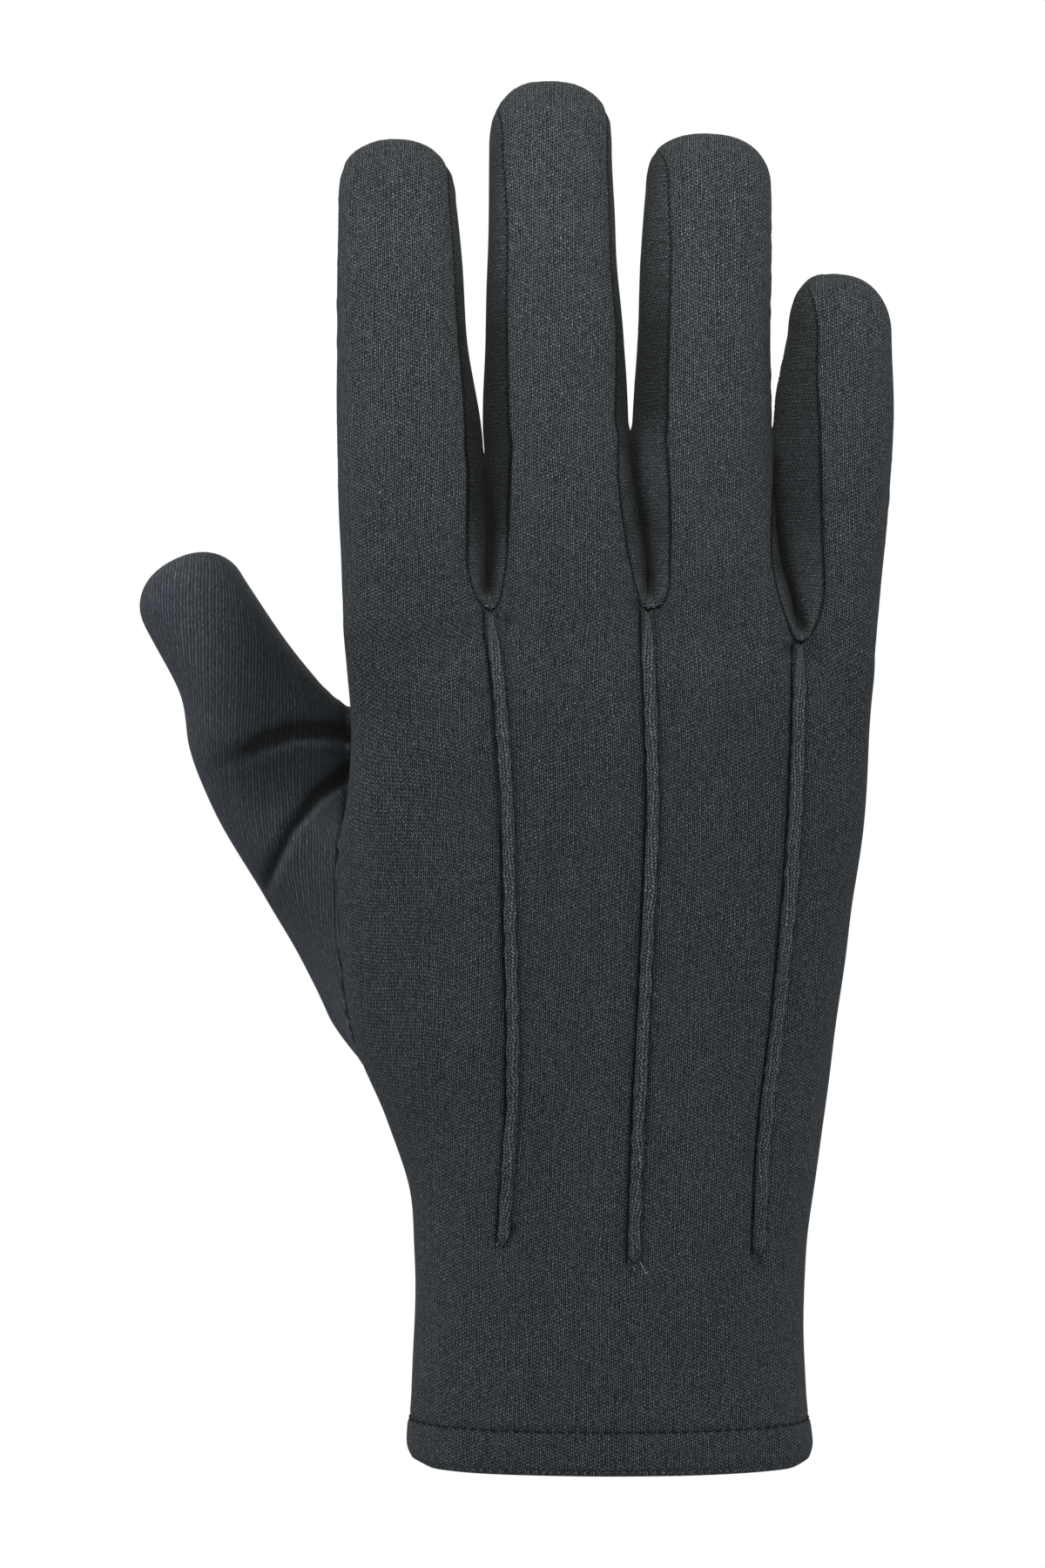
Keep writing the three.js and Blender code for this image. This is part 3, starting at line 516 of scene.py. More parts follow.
def thumbColumn(name, row):
    return readColumn(thumbRows, thumbColumns, name, row)


def thumbSection(row, degrees):
    angle = np.radians(degrees)
    power = 2 / glove["roundness"]
    along = (1 + signedPower(np.cos(angle), power)) / 2
    x = mix(thumbColumn("outX", row), thumbColumn("inX", row), along)
    z = mix(thumbColumn("outZ", row), thumbColumn("inZ", row), along)
    middle, half = thumbColumn("middle", row), thumbColumn("half", row)
    fade = thumbSizes["frontFade"]
    behind = smoothStep((z - thumbSizes["frontTop"] + fade) / fade)
    before = mix(middle - thumbColumn("front", row), half, behind)
    y = middle + signedPower(np.sin(angle), power) * np.where(angle < 0, before, half)
    return np.stack([x, y, z], axis=-1)


# Folds of slack cloth where the thumb leaves the body, as seen from the front. Each rises
# gently on one side of its path and drops steeply on the other, with a painted shadow beside
# the drop and a painted highlight on its crest.
folds = [
    {"height": 0.9, "gentle": 3.6, "steep": 0.9, "trough": 0.5, "dark": 0.62, "darkWidth": 1.5,
     "crestHighlight": 0.4, "until": 93.5,
     "path": [(-42.0, 118.5), (-49.8, 112.9), (-54.2, 107.5), (-57.6, 100.4), (-61.5, 91.5)]},
    {"height": 0.6, "gentle": 2.6, "steep": 0.9, "trough": 0.4, "dark": 0.42, "darkWidth": 1.9,
     "crestHighlight": 0.32, "until": 117,
     "path": [(-42.0, 122.2), (-49.0, 123.6), (-54.4, 123.5), (-59.7, 121.7), (-67.5, 117.4)]},
]
# Where the painted shadow and the painted highlight lie across a fold
foldShade = {"darkAt": 1.1, "brightAt": 0.2, "brightWidth": 0.7, "untilFade": 8}


# How far a point is from a fold's path: above zero on its gentle side
def besidePath(x, z, path):
    best, side = np.full(x.shape, 1e9), np.ones(x.shape)
    for (ax, az), (bx, bz) in zip(path, path[1:]):
        dx, dz = bx - ax, bz - az
        t = np.clip(((x - ax) * dx + (z - az) * dz) / (dx * dx + dz * dz), 0, 1)
        far = np.hypot(x - ax - t * dx, z - az - t * dz)
        side = np.where(far < best, np.sign(dx * (z - az) - dz * (x - ax)), side)
        best = np.minimum(best, far)
    return best * side


# The outer surface: shared points, and grids of point numbers for each piece. A grid's
# rows run up the glove and its columns round it, counterclockwise seen from the cuff.
class Surface:
    def __init__(self):
        self.blocks = []
        self.count = 0
        self.grids = []

    def add(self, block):
        numbers = np.arange(self.count, self.count + block[..., 0].size).reshape(block.shape[:-1])
        self.blocks.append(block.reshape(-1, 3))
        self.count += numbers.size
        return numbers

    def grid(self, piece, part, numbers):
        self.grids.append({"piece": piece, "part": part, "numbers": numbers})

    def close(self):
        self.points = np.concatenate(self.blocks)


def rowHeights():
    marks = [glove["knuckle"], thumbSizes["holeTop"], thumbSizes["holeFoot"], mesh["foot"]]
    parts = []
    for high, low in zip(marks, marks[1:]):
        count = max(2, round((high - low) / mesh["step"]))
        parts.append(np.linspace(high, low, count + 1)[:-1])
    heights = np.concatenate(parts + [[marks[-1]]])
    return heights, len(parts[0]), len(parts[0]) + len(parts[1])


surface = Surface()
heights, topRow, footRow = rowHeights()
ring = knuckleRing()
handBlock = handPoints(ring, heights)
handBlock[0] = ring
hand = closed(surface.add(handBlock))
holeLeft = aroundCount - perCell + halfShares.index(1 / 6)     # the hole fills 5 units of the 6
upwards = hand[::-1]
footIndex, topIndex = len(heights) - 1 - footRow, len(heights) - 1 - topRow
surface.grid("back_panel", "hand", upwards[:, :backCount + 1])
surface.grid("palm_panel", "handLow", upwards[:footIndex + 1, backCount:])
surface.grid("palm_panel", "handMiddle", upwards[footIndex:topIndex + 1, backCount:holeLeft + 1])
surface.grid("palm_panel", "handTop", upwards[topIndex:, backCount:])


def addSaddles():
    f = forkShares
    saddles = []
    for k in range(lastFinger):
        row = (fingerPoints(k, "right", f, 0.0) + fingerPoints(k + 1, "left", 1 - f, 0.0)) / 2
        ends = [hand[0, (k + 1) * perCell], hand[0, aroundCount - (k + 1) * perCell]]
        block = handBlock[0][[ends[0] % aroundCount, ends[1] % aroundCount]]
        row = row + (block[0] - row[0]) * bell(f, mesh["saddleBlend"])[:, None]
        row = row + (block[1] - row[-1]) * bell(1 - f, mesh["saddleBlend"])[:, None]
        inner = surface.add(row[1:-1])
        saddles.append((np.concatenate([[ends[0]], inner, [ends[1]]]), row))
    return saddles


def addFinger(k, saddles):
    used = ["back"] + (["right"] if k < lastFinger else []) + ["palm"]
    used += ["left"] if k > 0 else []
    first, palmFirst = k * perCell, aroundCount - (k + 1) * perCell
    spans = {"back": first + np.arange(perCell + 1), "palm": palmFirst + np.arange(perCell + 1)}
    starts = {side: hand[0, span] for side, span in spans.items()}
    atStart = {side: ring[span % aroundCount] for side, span in spans.items()}
    if k < lastFinger:
        starts["right"], atStart["right"] = saddles[k]
    if k > 0:
        starts["left"], atStart["left"] = [part[::-1] for part in saddles[k - 1]]
    length = fingers[k]["rows"][-1][0] - glove["slits"][k + (k > 0)]
    s = np.linspace(0, 1, round(length / mesh["step"]) + 1)[1:, None]
    t = s + mesh["crowding"] * (s * s - s)
    degrees = np.linspace(0, 90, mesh["domeRows"] + 1)[1:-1, None]
    columns = {}
    for side in used:
        f = shares if side in ("back", "palm") else forkShares
        low = fingerPoints(k, side, f[None, :], t)
        own = fingerPoints(k, side, f, 0.0)
        fade = bell(low[..., 2] - own[None, :, 2], mesh["fingerBlend"])
        low = low + (atStart[side] - own)[None] * fade[..., None]
        columns[side] = np.concatenate([low, domePoints(k, side, f[None, :], degrees)])
    numbers = {side: surface.add(columns[side][:, :-1]) for side in used}
    line = surface.add(domePoints(k, "back", shares, 90.0))
    ends = {"back": line, "palm": line[::-1],
            "right": np.full(len(forkShares), line[-1]), "left": np.full(len(forkShares), line[0])}
    owners = {"back": "back_panel", "palm": "palm_panel",
              "right": forkNames[min(k, lastFinger - 1)], "left": forkNames[max(k - 1, 0)]}
    for n, side in enumerate(used):
        after = numbers[used[(n + 1) % len(used)]][:, :1]
        whole = np.concatenate([numbers[side], after], axis=1)
        surface.grid(owners[side], side + str(k), np.concatenate([[starts[side]], whole, [ends[side]]]))


thumbAngles = []


def addThumb():
    up = [(j, aroundCount) for j in range(footRow, topRow, -1)]
    over = [(topRow, i) for i in range(aroundCount, holeLeft, -1)]
    down = [(j, holeLeft) for j in range(topRow, footRow)]
    home = [(footRow, i) for i in range(holeLeft, aroundCount)]
    rows, cols = np.array(up + over + down + home).T
    units = np.append(columnUnits, unitCount)[cols]
    holeUnits = thumbSizes["holeUnits"]
    edge, end = thumbSizes["edgeTurn"], 180 - thumbSizes["edgeTurn"]
    high, low = heights[topRow], heights[footRow]
    climbed = (heights[rows] - low) / (high - low)
    angles = np.concatenate([
        -180 + end / 2 + edge * climbed[:len(up)],
        -end / 2 + end * (unitCount - units[len(up):len(up) + len(over)]) / holeUnits,
        end / 2 + edge * (1 - climbed[len(up) + len(over):-len(home)]),
        180 - end / 2 + end * (units[-len(home):] - unitCount + holeUnits) / holeUnits,
    ])
    thumbAngles.extend(angles)
    loop = hand[rows, cols]
    base = handBlock[rows, cols % aroundCount]
    row = np.linspace(0, thumbRows[-1][0], mesh["thumbRows"] + 1)[1:, None]
    away = smoothStep(row / thumbSizes["settle"])[..., None]
    body = mix(base[None], thumbSection(row, angles[None, :]), away)
    last = dict(zip(thumbColumns, thumbRows[-1]))
    middle = np.array([(last["outX"] + last["inX"]) / 2, last["middle"],
                       (last["outZ"] + last["inZ"]) / 2])
    axis = unit(np.array([last["outZ"] - last["inZ"], 0, last["inX"] - last["outX"]]))
    degrees = np.radians(np.linspace(0, 90, thumbSizes["tipRows"]))[1:-1, None, None]
    power = 2 / thumbSizes["tipPower"]
    section = thumbSection(np.array(float(last["row"])), angles) - middle
    dome = middle + section[None] * np.cos(degrees) ** power
    dome = dome + axis * np.sin(degrees) ** power * thumbSizes["tip"]
    numbers = surface.add(np.concatenate([body, dome]))
    pole = surface.add((middle + axis * thumbSizes["tip"])[None])
    numbers = np.concatenate([[loop], numbers, [np.full(len(loop), pole[0])]])
    surface.grid("thumb", "thumb", closed(numbers))


saddles = addSaddles()
for k in range(len(fingers)):
    addFinger(k, saddles)
addThumb()
surface.close()
print("surface:", surface.count, "points,", len(surface.grids), "grids")


def cellsOf(numbers):
    low, high = numbers[:-1], numbers[1:]
    quads = np.stack([low[:, :-1], low[:, 1:], high[:, 1:], high[:, :-1]], axis=-1)
    return quads.reshape(-1, 4)


def pointNormals(points, quads):
    a, b, c, d = (points[quads[:, n]] for n in range(4))
    faceNormals = np.cross(c - a, d - b)
    normals = np.zeros_like(points)
    for n in range(4):
        for axis in range(3):
            normals[:, axis] += np.bincount(quads[:, n], faceNormals[:, axis], len(points))
    return unit(normals)


def quadEdges(quads):
    ends = np.concatenate([quads[:, [n, (n + 1) % 4]] for n in range(4)])
    return ends[ends[:, 0] != ends[:, 1]]


# Evens out kinks without shrinking: along their normals, points move half the way in and
# then about as much back out
def smoothSurface(points, quads, rounds, where=1.0, back=0.51):
    ends = quadEdges(quads)
    ends = np.concatenate([ends, ends[:, ::-1]])
    share = np.maximum(np.bincount(ends[:, 0], minlength=len(points)), 1)
    for n in range(rounds * 2):
        normals = pointNormals(points, quads)
        mean = np.stack([np.bincount(ends[:, 0], points[ends[:, 1], axis], len(points)) / share
                         for axis in range(3)], axis=-1)
        pull = np.sum((mean - points) * normals, axis=-1, keepdims=True)
        points = points + normals * pull * where * (0.5 if n % 2 == 0 else -back)
    return points


allQuads = np.concatenate([cellsOf(grid["numbers"]) for grid in surface.grids])
points = smoothSurface(surface.points, allQuads, mesh["smoothing"])


def gridsOf(piece):
    return [grid for grid in surface.grids if grid["piece"].startswith(piece)]


def pieceMask(piece):
    mask = np.zeros(surface.count, bool)
    for grid in gridsOf(piece):
        mask[grid["numbers"]] = True
    return mask


onPanels = pieceMask("back_panel") | pieceMask("palm_panel")


# Where fingers and body join, away from the lips of the crotches
def joinShare():
    places = points[hand[0, :-1]]
    tree = placeTree(places, range(len(places)))
    lips = places[[m * perCell for m in (1, 2, 3, 5, 6, 7)]]
    share = np.zeros(surface.count)
    for n in np.nonzero(onPanels)[0]:
        far = tree.find(points[n])[2]
        if far < mesh["joinFull"] + mesh["joinFade"]:
            fromLip = np.linalg.norm(lips - points[n], axis=1).min()
            share[n] = 1 - ramp(far, mesh["joinFull"], mesh["joinFade"])
            share[n] *= ramp(fromLip, mesh["lipClear"], mesh["lipFade"])
    return share


points = smoothSurface(points, allQuads, mesh["joinSmoothing"], joinShare()[:, None],
                       mesh["joinBack"])
normals = pointNormals(points, allQuads)
print("surface smoothed")


def runningSum(steps):
    return np.concatenate([np.zeros((len(steps), 1)), np.cumsum(steps, axis=1)], axis=1)


# Knit coordinates in millimetres: across from the middle of each row, and up the cloth
def arcAcross(numbers, middle):
    along = runningSum(np.linalg.norm(np.diff(points[numbers], axis=1), axis=-1))
    return along - along[:, middle:middle + 1]


def upAlong(numbers):
    rows = points[numbers]
    body = len(numbers) - mesh["domeRows"] - 1
    up = rows[..., 2].copy()
    steps = np.linalg.norm(np.diff(rows[body:], axis=0), axis=-1)
    up[body + 1:] = up[body] + np.cumsum(steps, axis=0)
    return up


# The thumb pulls the courses of the back down beside it, left of a start and between heights
coursePull = {"start": -31, "over": 24, "drop": 7, "foot": 30, "top": 147, "fade": 42}


def pulledCourses(u, z):
    there = ramp(z, coursePull["foot"], coursePull["fade"])
    there = there * fall(z, coursePull["top"], coursePull["fade"])
    return z + coursePull["drop"] * fall(u, coursePull["start"], coursePull["over"]) * there


# One half of the glove, with the same coordinates for its fingers and its body
def layPanel(half, start, firstRows):
    whole = upwards[:, start:start + backCount + 1]
    u, v = arcAcross(whole, perCell * 2), points[whole][..., 2]
    if half == "palm":
        spine = points[whole[:, perCell * 2]][:, 0]
        u = u - (spine - spine[-1])[:, None]
    else:
        v = pulledCourses(u, v)
    lookup = dict(zip(map(int, whole[-1]), u[-1]))
    for grid in gridsOf(half + "_panel"):
        numbers = grid["numbers"]
        if grid["part"] in firstRows:
            first, (rows, columns) = firstRows[grid["part"]], numbers.shape
            own = slice(first, first + rows), slice(columns)
            grid["uv"] = np.stack([u[own], v[own]], -1)
        else:
            middle = perCell // 2
            spine = points[numbers[:, middle]][:, 0]
            across = arcAcross(numbers, middle) + lookup[int(numbers[0, middle])]
            across = across + (spine - spine[0])[:, None] * (1 if half == "back" else -1)
            grid["uv"] = np.stack([across, upAlong(numbers)], -1)


# The thumb's ribs stand upright: across is counted from the middle of its front and palm side
def layThumb(grid):
    x, y, z = np.moveaxis(points[grid["numbers"]], -1, 0)
    along = runningSum(np.hypot(np.diff(x, axis=1), np.diff(y, axis=1)))
    turns = np.array(thumbAngles + [180])
    front, palm = (int(np.argmin(np.abs(turns - middle))) for middle in (-90, 90))
    onFront = along - along[:, front:front + 1] + x[:, front:front + 1]
    onPalm = along - along[:, palm:palm + 1] - x[:, palm:palm + 1]
    grid["uv"] = np.stack([np.where(turns <= 0, onFront, onPalm), z], -1)


layPanel("back", 0, {"hand": 0})
layPanel("palm", backCount, {"handLow": 0, "handMiddle": footIndex, "handTop": topIndex})
for grid in gridsOf("fourchette"):
    across = arcAcross(grid["numbers"], len(forkShares) // 2)
    grid["uv"] = np.stack([upAlong(grid["numbers"]), across], -1)
for grid in gridsOf("thumb"):
    layThumb(grid)
print("knit coordinates laid")

# Relief on the panels, in millimetres along the normals, with the painted shade in their seams, grooves
# and hem
seam = {
    "depth": 0.42, "width": 0.7,
    "shoulder": 0.07, "shoulderAt": 1.4, "shoulderWidth": 0.8,
    # painted shade in the seam's groove, and how wide it is
    "dark": 1.0, "darkWidth": 0.5,
    "fadeFrom": 160, "fadeTo": 190, "highShare": 0.4,     # shallower up the fingers
    "tipFade": 2.5,       # and gone where a fourchette runs out
    "lipShare": 0.5, "lipWidth": 0.9,     # less painted shade right at a crotch
    "reach": 6.0,         # nothing looks farther for a seam
    "footClear": 0.1,     # the panels' lower edges are no seam
    "calm": 2.5, "calmFade": 1.8,         # round a fourchette's end the normals agree
    "thin": 0.8, "thinFade": 1.5,         # and the cloth is thinner
}
pucker = {"rise": 0.05, "count": 20, "shortest": 2.6, "longest": 4.6, "at": 1.2, "width": 1.3}
tuck = {
    "ends": [38.3, 35.4, 36.4],           # heights at which the tucks stop
    "endFade": 2.4,
    "width": 2.0, "height": 0.8, "lean": -0.12, "sunk": 0.6,
    "step": 0.34, "power": 2.6, "profile": 15,
    "topSize": 0.5, "topOver": 9,         # slimmer at the crotch, over this length
    "endSize": 0.25, "endOver": 1.6,
    "wiggle": {"rise": 0.05, "count": 12, "shortest": 2.4, "longest": 9},
    "swell": {"rise": 0.07, "count": 14, "shortest": 1.7, "longest": 4.5},
    "grooveAt": 1.22, "grooveWidth": 0.3,
    "leftDepth": [0.6, 0.55, 0.7], "rightDepth": [0.2, 0.22, 0.12],
    "under": 0.3, "underWidth": 0.8,      # the panel dips under the fold
    # dark: painted shade in the grooves beside a tuck, for each millimetre of their depth
    "pull": 0.22, "pullWidth": 3.2, "dark": 1.95,
}
hem = {
    # dark: painted shade in the hem's groove
    "height": 7.55, "groove": 0.28, "grooveWidth": 0.5, "dark": 0.28,
    "swell": 0.25, "swellFrom": 0.5, "swellOver": 1.5,
    "inner": 8.0,         # the cloth turned up inside ends here
    "gap": 0.1, "edgeIn": 0.2, "edgeRise": 0.25,
    "foldRows": 15, "foldRoundness": 0.8, "innerRows": 14,
    "corner": 1.3, "cornerFrom": 30.2, "cornerOver": 4.6,
    "cornerHeight": 3.6, "cornerLift": 0.8,
}
drape = {"rise": 0.1, "count": 26, "shortest": 13, "longest": 42}


def borderEdges(quads):
    ends = quadEdges(quads)
    key, twin = ends @ [surface.count, 1], ends @ [1, surface.count]
    return ends[~np.isin(key, twin)]


pieceQuads = {}
for piece in dict.fromkeys(grid["piece"] for grid in surface.grids):
    pieceQuads[piece] = np.concatenate([cellsOf(grid["numbers"]) for grid in gridsOf(piece)])
borders = {piece: borderEdges(quads) for piece, quads in pieceQuads.items()}


def seamDistances():
    edges = np.concatenate(list(borders.values()))
    edges = edges[points[edges][:, :, 2].min(axis=1) > mesh["foot"] + seam["footClear"]]
    start, end = points[edges[:, 0]], points[edges[:, 1]]
    spots = np.concatenate([mix(start, end, share) for share in (0, 0.33, 0.67)])
    tree = placeTree(spots, range(len(spots)))
    return np.array([min(tree.find(point)[2], seam["reach"]) for point in points])


# Painted shade laid into the knit's colour: 1 is the darkest, below 0 is painted light, lighter than
# plain cloth
# Painted shade across the middle of the hand, where the light falls off below the fingers
broadShade = {"dark": 0.2, "at": 118, "over": 62}
# Painted shade on the fourchettes deep between the fingers, in a band of heights, and painted light
# near each crotch
forkShade = {
    "dark": [0.6, 0.53, 0.34], "from": [154, 170, 154], "rise": 12, "to": 190, "fade": 22,
    "low": 0.5, "lowTo": 5, "lowFade": 9,     # painted light this near a crotch
}
# Painted shadow of the hand on the thumb's front, darker towards the hand, with painted shade at the
# gusset and along the thumb's seam
thumbShade = {
    "from": -76, "over": 17, "dark": 0.56, "above": 106, "fade": 14,
    "facing": 2,          # how quickly it comes on where the cloth turns to the front
    "gussetDark": 0.26, "gussetAt": 98, "gussetOver": 14,
    "seamLeftOf": -34, "seamOver": 4, "seamDark": 0.4, "seamWidth": 0.6, "seamFacing": 3,
    "thin": 0.9, "thinWidth": 0.7,        # so that no thick edge shows in the valley there
}
shadeLimits = (-0.7, 1)

# Painted shade along the deep creases between the fingers, as seen from the front
creaseShade = [
    {"fork": 0, "width": 1.2, "dark": 0.95,
     "path": [(-22.4, 178), (-21.6, 170), (-20.6, 163), (-20.6, 156), (-21.2, 149.8)]},
    {"fork": 1, "width": 1.2, "dark": 0.95, "path": [(3.4, 178), (4.2, 168), (5.4, 161)]},
    {"fork": 1, "width": 0.7, "dark": 0.8, "path": [(5.4, 161), (6.2, 155), (6.8, 149.6)]},
    {"fork": 2, "width": 1.0, "dark": 0.9,
     "path": [(28.1, 172), (28.7, 161), (29.9, 153.5), (31.7, 147.3), (33.0, 143.6)]},
]

# Dimples at both ends of the tucks: x, z, depth and radius
dimples = [
    (-17.7, 144.2, 0.35, 0.9), (7.9, 146.2, 0.3, 0.8), (4.4, 146.6, 0.25, 0.8),
    (30.6, 139.4, 0.25, 0.9), (-17.1, 41.3, 0.45, 0.9), (3.6, 34.4, 0.3, 0.8),
    (25.2, 35.4, 0.35, 0.8),
]
# Painted shade in the dimples
dimpleShade = 0.5

random = np.random.default_rng(7)


def waves(spots, kind):
    total = np.zeros(len(spots))
    for _ in range(kind["count"]):
        direction = unit(random.normal(size=3))
        length = random.uniform(kind["shortest"], kind["longest"])
        total += np.sin(spots @ direction * 2 * math.pi / length + random.uniform(0, 2 * math.pi))
    return kind["rise"] * (total / math.sqrt(kind["count"] / 2))


def nearestOf(places):
    return np.linalg.norm(points[:, None] - places[None], axis=-1).min(axis=1)


# Distance to the nearest seam, and to the ends of the fourchettes on the fingertips
seamNear = seamDistances()
forkEnds = np.unique([grid["numbers"][-1][0] for grid in gridsOf("fourchette")])
tipNear = nearestOf(points[forkEnds])


# Where a fourchette runs out its columns crowd together: one common direction there
def calmNormals(vectors):
    for end in forkEnds:
        near = np.linalg.norm(points - points[end], axis=1)
        common = unit((vectors * (bell(near, seam["calm"]) * onPanels)[:, None]).sum(axis=0))
        vectors = unit(mix(vectors, common, bell(near, seam["calmFade"])[:, None]))
    return vectors


normals = calmNormals(normals)


def thumbSeamNear(width):
    leftOf = fall(points[:, 0], thumbShade["seamLeftOf"], thumbShade["seamOver"])
    return leftOf * bell(seamNear, width)


# The hem's lower edge is rounder at the two ends of the cuff
def atCorner(x):
    return ramp(np.abs(x), hem["cornerFrom"], hem["cornerOver"])


# How far the outer surface rises along its normals, and its painted shade and painted light
def relief():
    x, z = points[:, 0], points[:, 2]
    paintedShade = np.zeros(surface.count)
    rise = waves(points, drape)
    up = ramp(z, seam["fadeFrom"], seam["fadeTo"] - seam["fadeFrom"])
    plain = mix(1, seam["highShare"], up) * (1 - bell(tipNear, seam["tipFade"]))
    rise -= seam["depth"] * plain * np.maximum(0, 1 - seamNear / seam["width"]) ** 2
    fromLip = nearestOf(ring[[(n + 1) * perCell for n in range(lastFinger)]])
    plain = plain * (1 - seam["lipShare"] * bell(fromLip, seam["lipWidth"]))
    # Painted shade in the seam grooves, less of it at the crotches
    paintedShade += seam["dark"] * plain * np.maximum(0, 1 - seamNear / seam["darkWidth"])
    rise += seam["shoulder"] * bell(seamNear - seam["shoulderAt"], seam["shoulderWidth"])
    rise += waves(points, pucker) * bell(seamNear - pucker["at"], pucker["width"])

    # Painted shade across the middle of the hand and along the thumb's seam
    paintedShade += broadShade["dark"] * bell(z - broadShade["at"], broadShade["over"])
    facing = smoothStep(-normals[:, 1] * thumbShade["seamFacing"])
    paintedShade += thumbShade["seamDark"] * thumbSeamNear(thumbShade["seamWidth"]) * facing
    # Painted shade deep in the fourchettes, painted light near each crotch
    for name, dark, start in zip(forkNames, forkShade["dark"], forkShade["from"]):
        band = ramp(z, start, forkShade["rise"])
        band = band * (1 - ramp(z, forkShade["to"], forkShade["fade"]))
        low = 1 - ramp(fromLip, forkShade["lowTo"], forkShade["lowFade"])
        paintedShade += pieceMask(name) * (dark * band - forkShade["low"] * low)

    # The hem's groove, with painted shade in it
    groove = bell(z - hem["height"], hem["grooveWidth"])
    paintedShade += hem["dark"] * groove
    rise -= hem["groove"] * groove
    rise += hem["swell"] * fall(z, hem["height"] + hem["swellFrom"], hem["swellOver"])
    toEdge = np.maximum(0, 1 - z / hem["cornerHeight"]) ** 2
    rise -= hem["corner"] * atCorner(x) * toEdge

    for n, end in enumerate(tuck["ends"]):
        column = (n + 1) * perCell
        numbers = hand[:, column - perCell // 2:column + perCell // 2 + 1]
        across = arcAcross(numbers, perCell // 2)
        spineZ = points[hand[:, column], 2][:, None]
        fade = smoothStep((spineZ - end + tuck["endFade"] / 2) / tuck["endFade"])
        left = tuck["leftDepth"][n] * bell(across + tuck["grooveAt"], tuck["grooveWidth"])
        right = tuck["rightDepth"][n] * bell(across - tuck["grooveAt"], tuck["grooveWidth"])
        under = tuck["under"] * bell(across, tuck["underWidth"])
        pulled = tuck["pull"] * bell(across, tuck["pullWidth"])
        rise[numbers] -= fade * (left + right + under + pulled)
        # painted shade in the grooves beside the tuck
        paintedShade[numbers] += fade * (left + right) * tuck["dark"]

    # Painted shade along the creases between the fingers
    for crease in creaseShade:
        near = bell(besidePath(x, z, crease["path"]), crease["width"])
        paintedShade = mix(paintedShade, 1, crease["dark"] * near * pieceMask(forkNames[crease["fork"]]))

    # Painted shadow of the hand on the thumb's front, and painted shade at the gusset
    thumbFront = pieceMask("thumb") * smoothStep(-normals[:, 1] * thumbShade["facing"])
    toHand = ramp(x, thumbShade["from"], thumbShade["over"])
    toHand = toHand * ramp(z, thumbShade["above"], thumbShade["fade"])
    gusset = bell(z - thumbShade["gussetAt"], thumbShade["gussetOver"])
    paintedShade += thumbShade["dark"] * toHand * thumbFront
    paintedShade += thumbShade["gussetDark"] * gusset * thumbFront
    for fold in folds:
        beside = besidePath(x, z, fold["path"])
        shape = np.where(beside > 0, bell(beside, fold["gentle"]), bell(beside, fold["steep"]))
        shadow = bell(beside + fold["darkWidth"] * foldShade["darkAt"], fold["darkWidth"])
        crest = bell(beside - foldShade["brightAt"], foldShade["brightWidth"])
        there = thumbFront * ramp(z, fold["until"], foldShade["untilFade"])
        rise += there * (fold["height"] * shape - fold["trough"] * shadow)
        # painted shadow beside each fold and a painted highlight on its crest
        paintedShade += there * (fold["dark"] * shadow - fold["crestHighlight"] * crest)

    onBack = pieceMask("back_panel")
    for atX, atZ, depth, radius in dimples:
        spot = bell(np.hypot(x - atX, z - atZ), radius) * onBack
        rise -= depth * spot
        # painted shade in the dimple
        paintedShade += dimpleShade * spot
    return rise, np.clip(paintedShade, *shadeLimits)


surfaceRise, surfacePaintedShade = relief()
outer = points + normals * surfaceRise[:, None]
shaded = calmNormals(pointNormals(outer, allQuads))
wallAt = glove["wall"] * (1 - seam["thin"] * bell(tipNear, seam["thinFade"]))
wallAt = wallAt * (1 - thumbShade["thin"] * thumbSeamNear(thumbShade["thinWidth"]))
print("relief added")


def makeObject(name, verts, faces, uvs=None, flat=None):
    data = bpy.data.meshes.new(name)
    data.from_pydata((verts / 1000).tolist(), [], faces)
    if uvs is not None:
        layer = data.uv_layers.new(name="knit")
        layer.data.foreach_set("uv", np.asarray(uvs, float).ravel())
    smooth = np.ones(len(faces), bool)
    if flat is not None:
        smooth[flat] = False
    data.polygons.foreach_set("use_smooth", smooth)
    data.update()
    obj = bpy.data.objects.new(name, data)
    bpy.context.scene.collection.objects.link(obj)
    return obj


def cornersOf(uv):
    corners = [uv[:-1, :-1], uv[:-1, 1:], uv[1:, 1:], uv[1:, :-1]]
    return np.stack(corners, axis=2).reshape(-1, 4, 2)


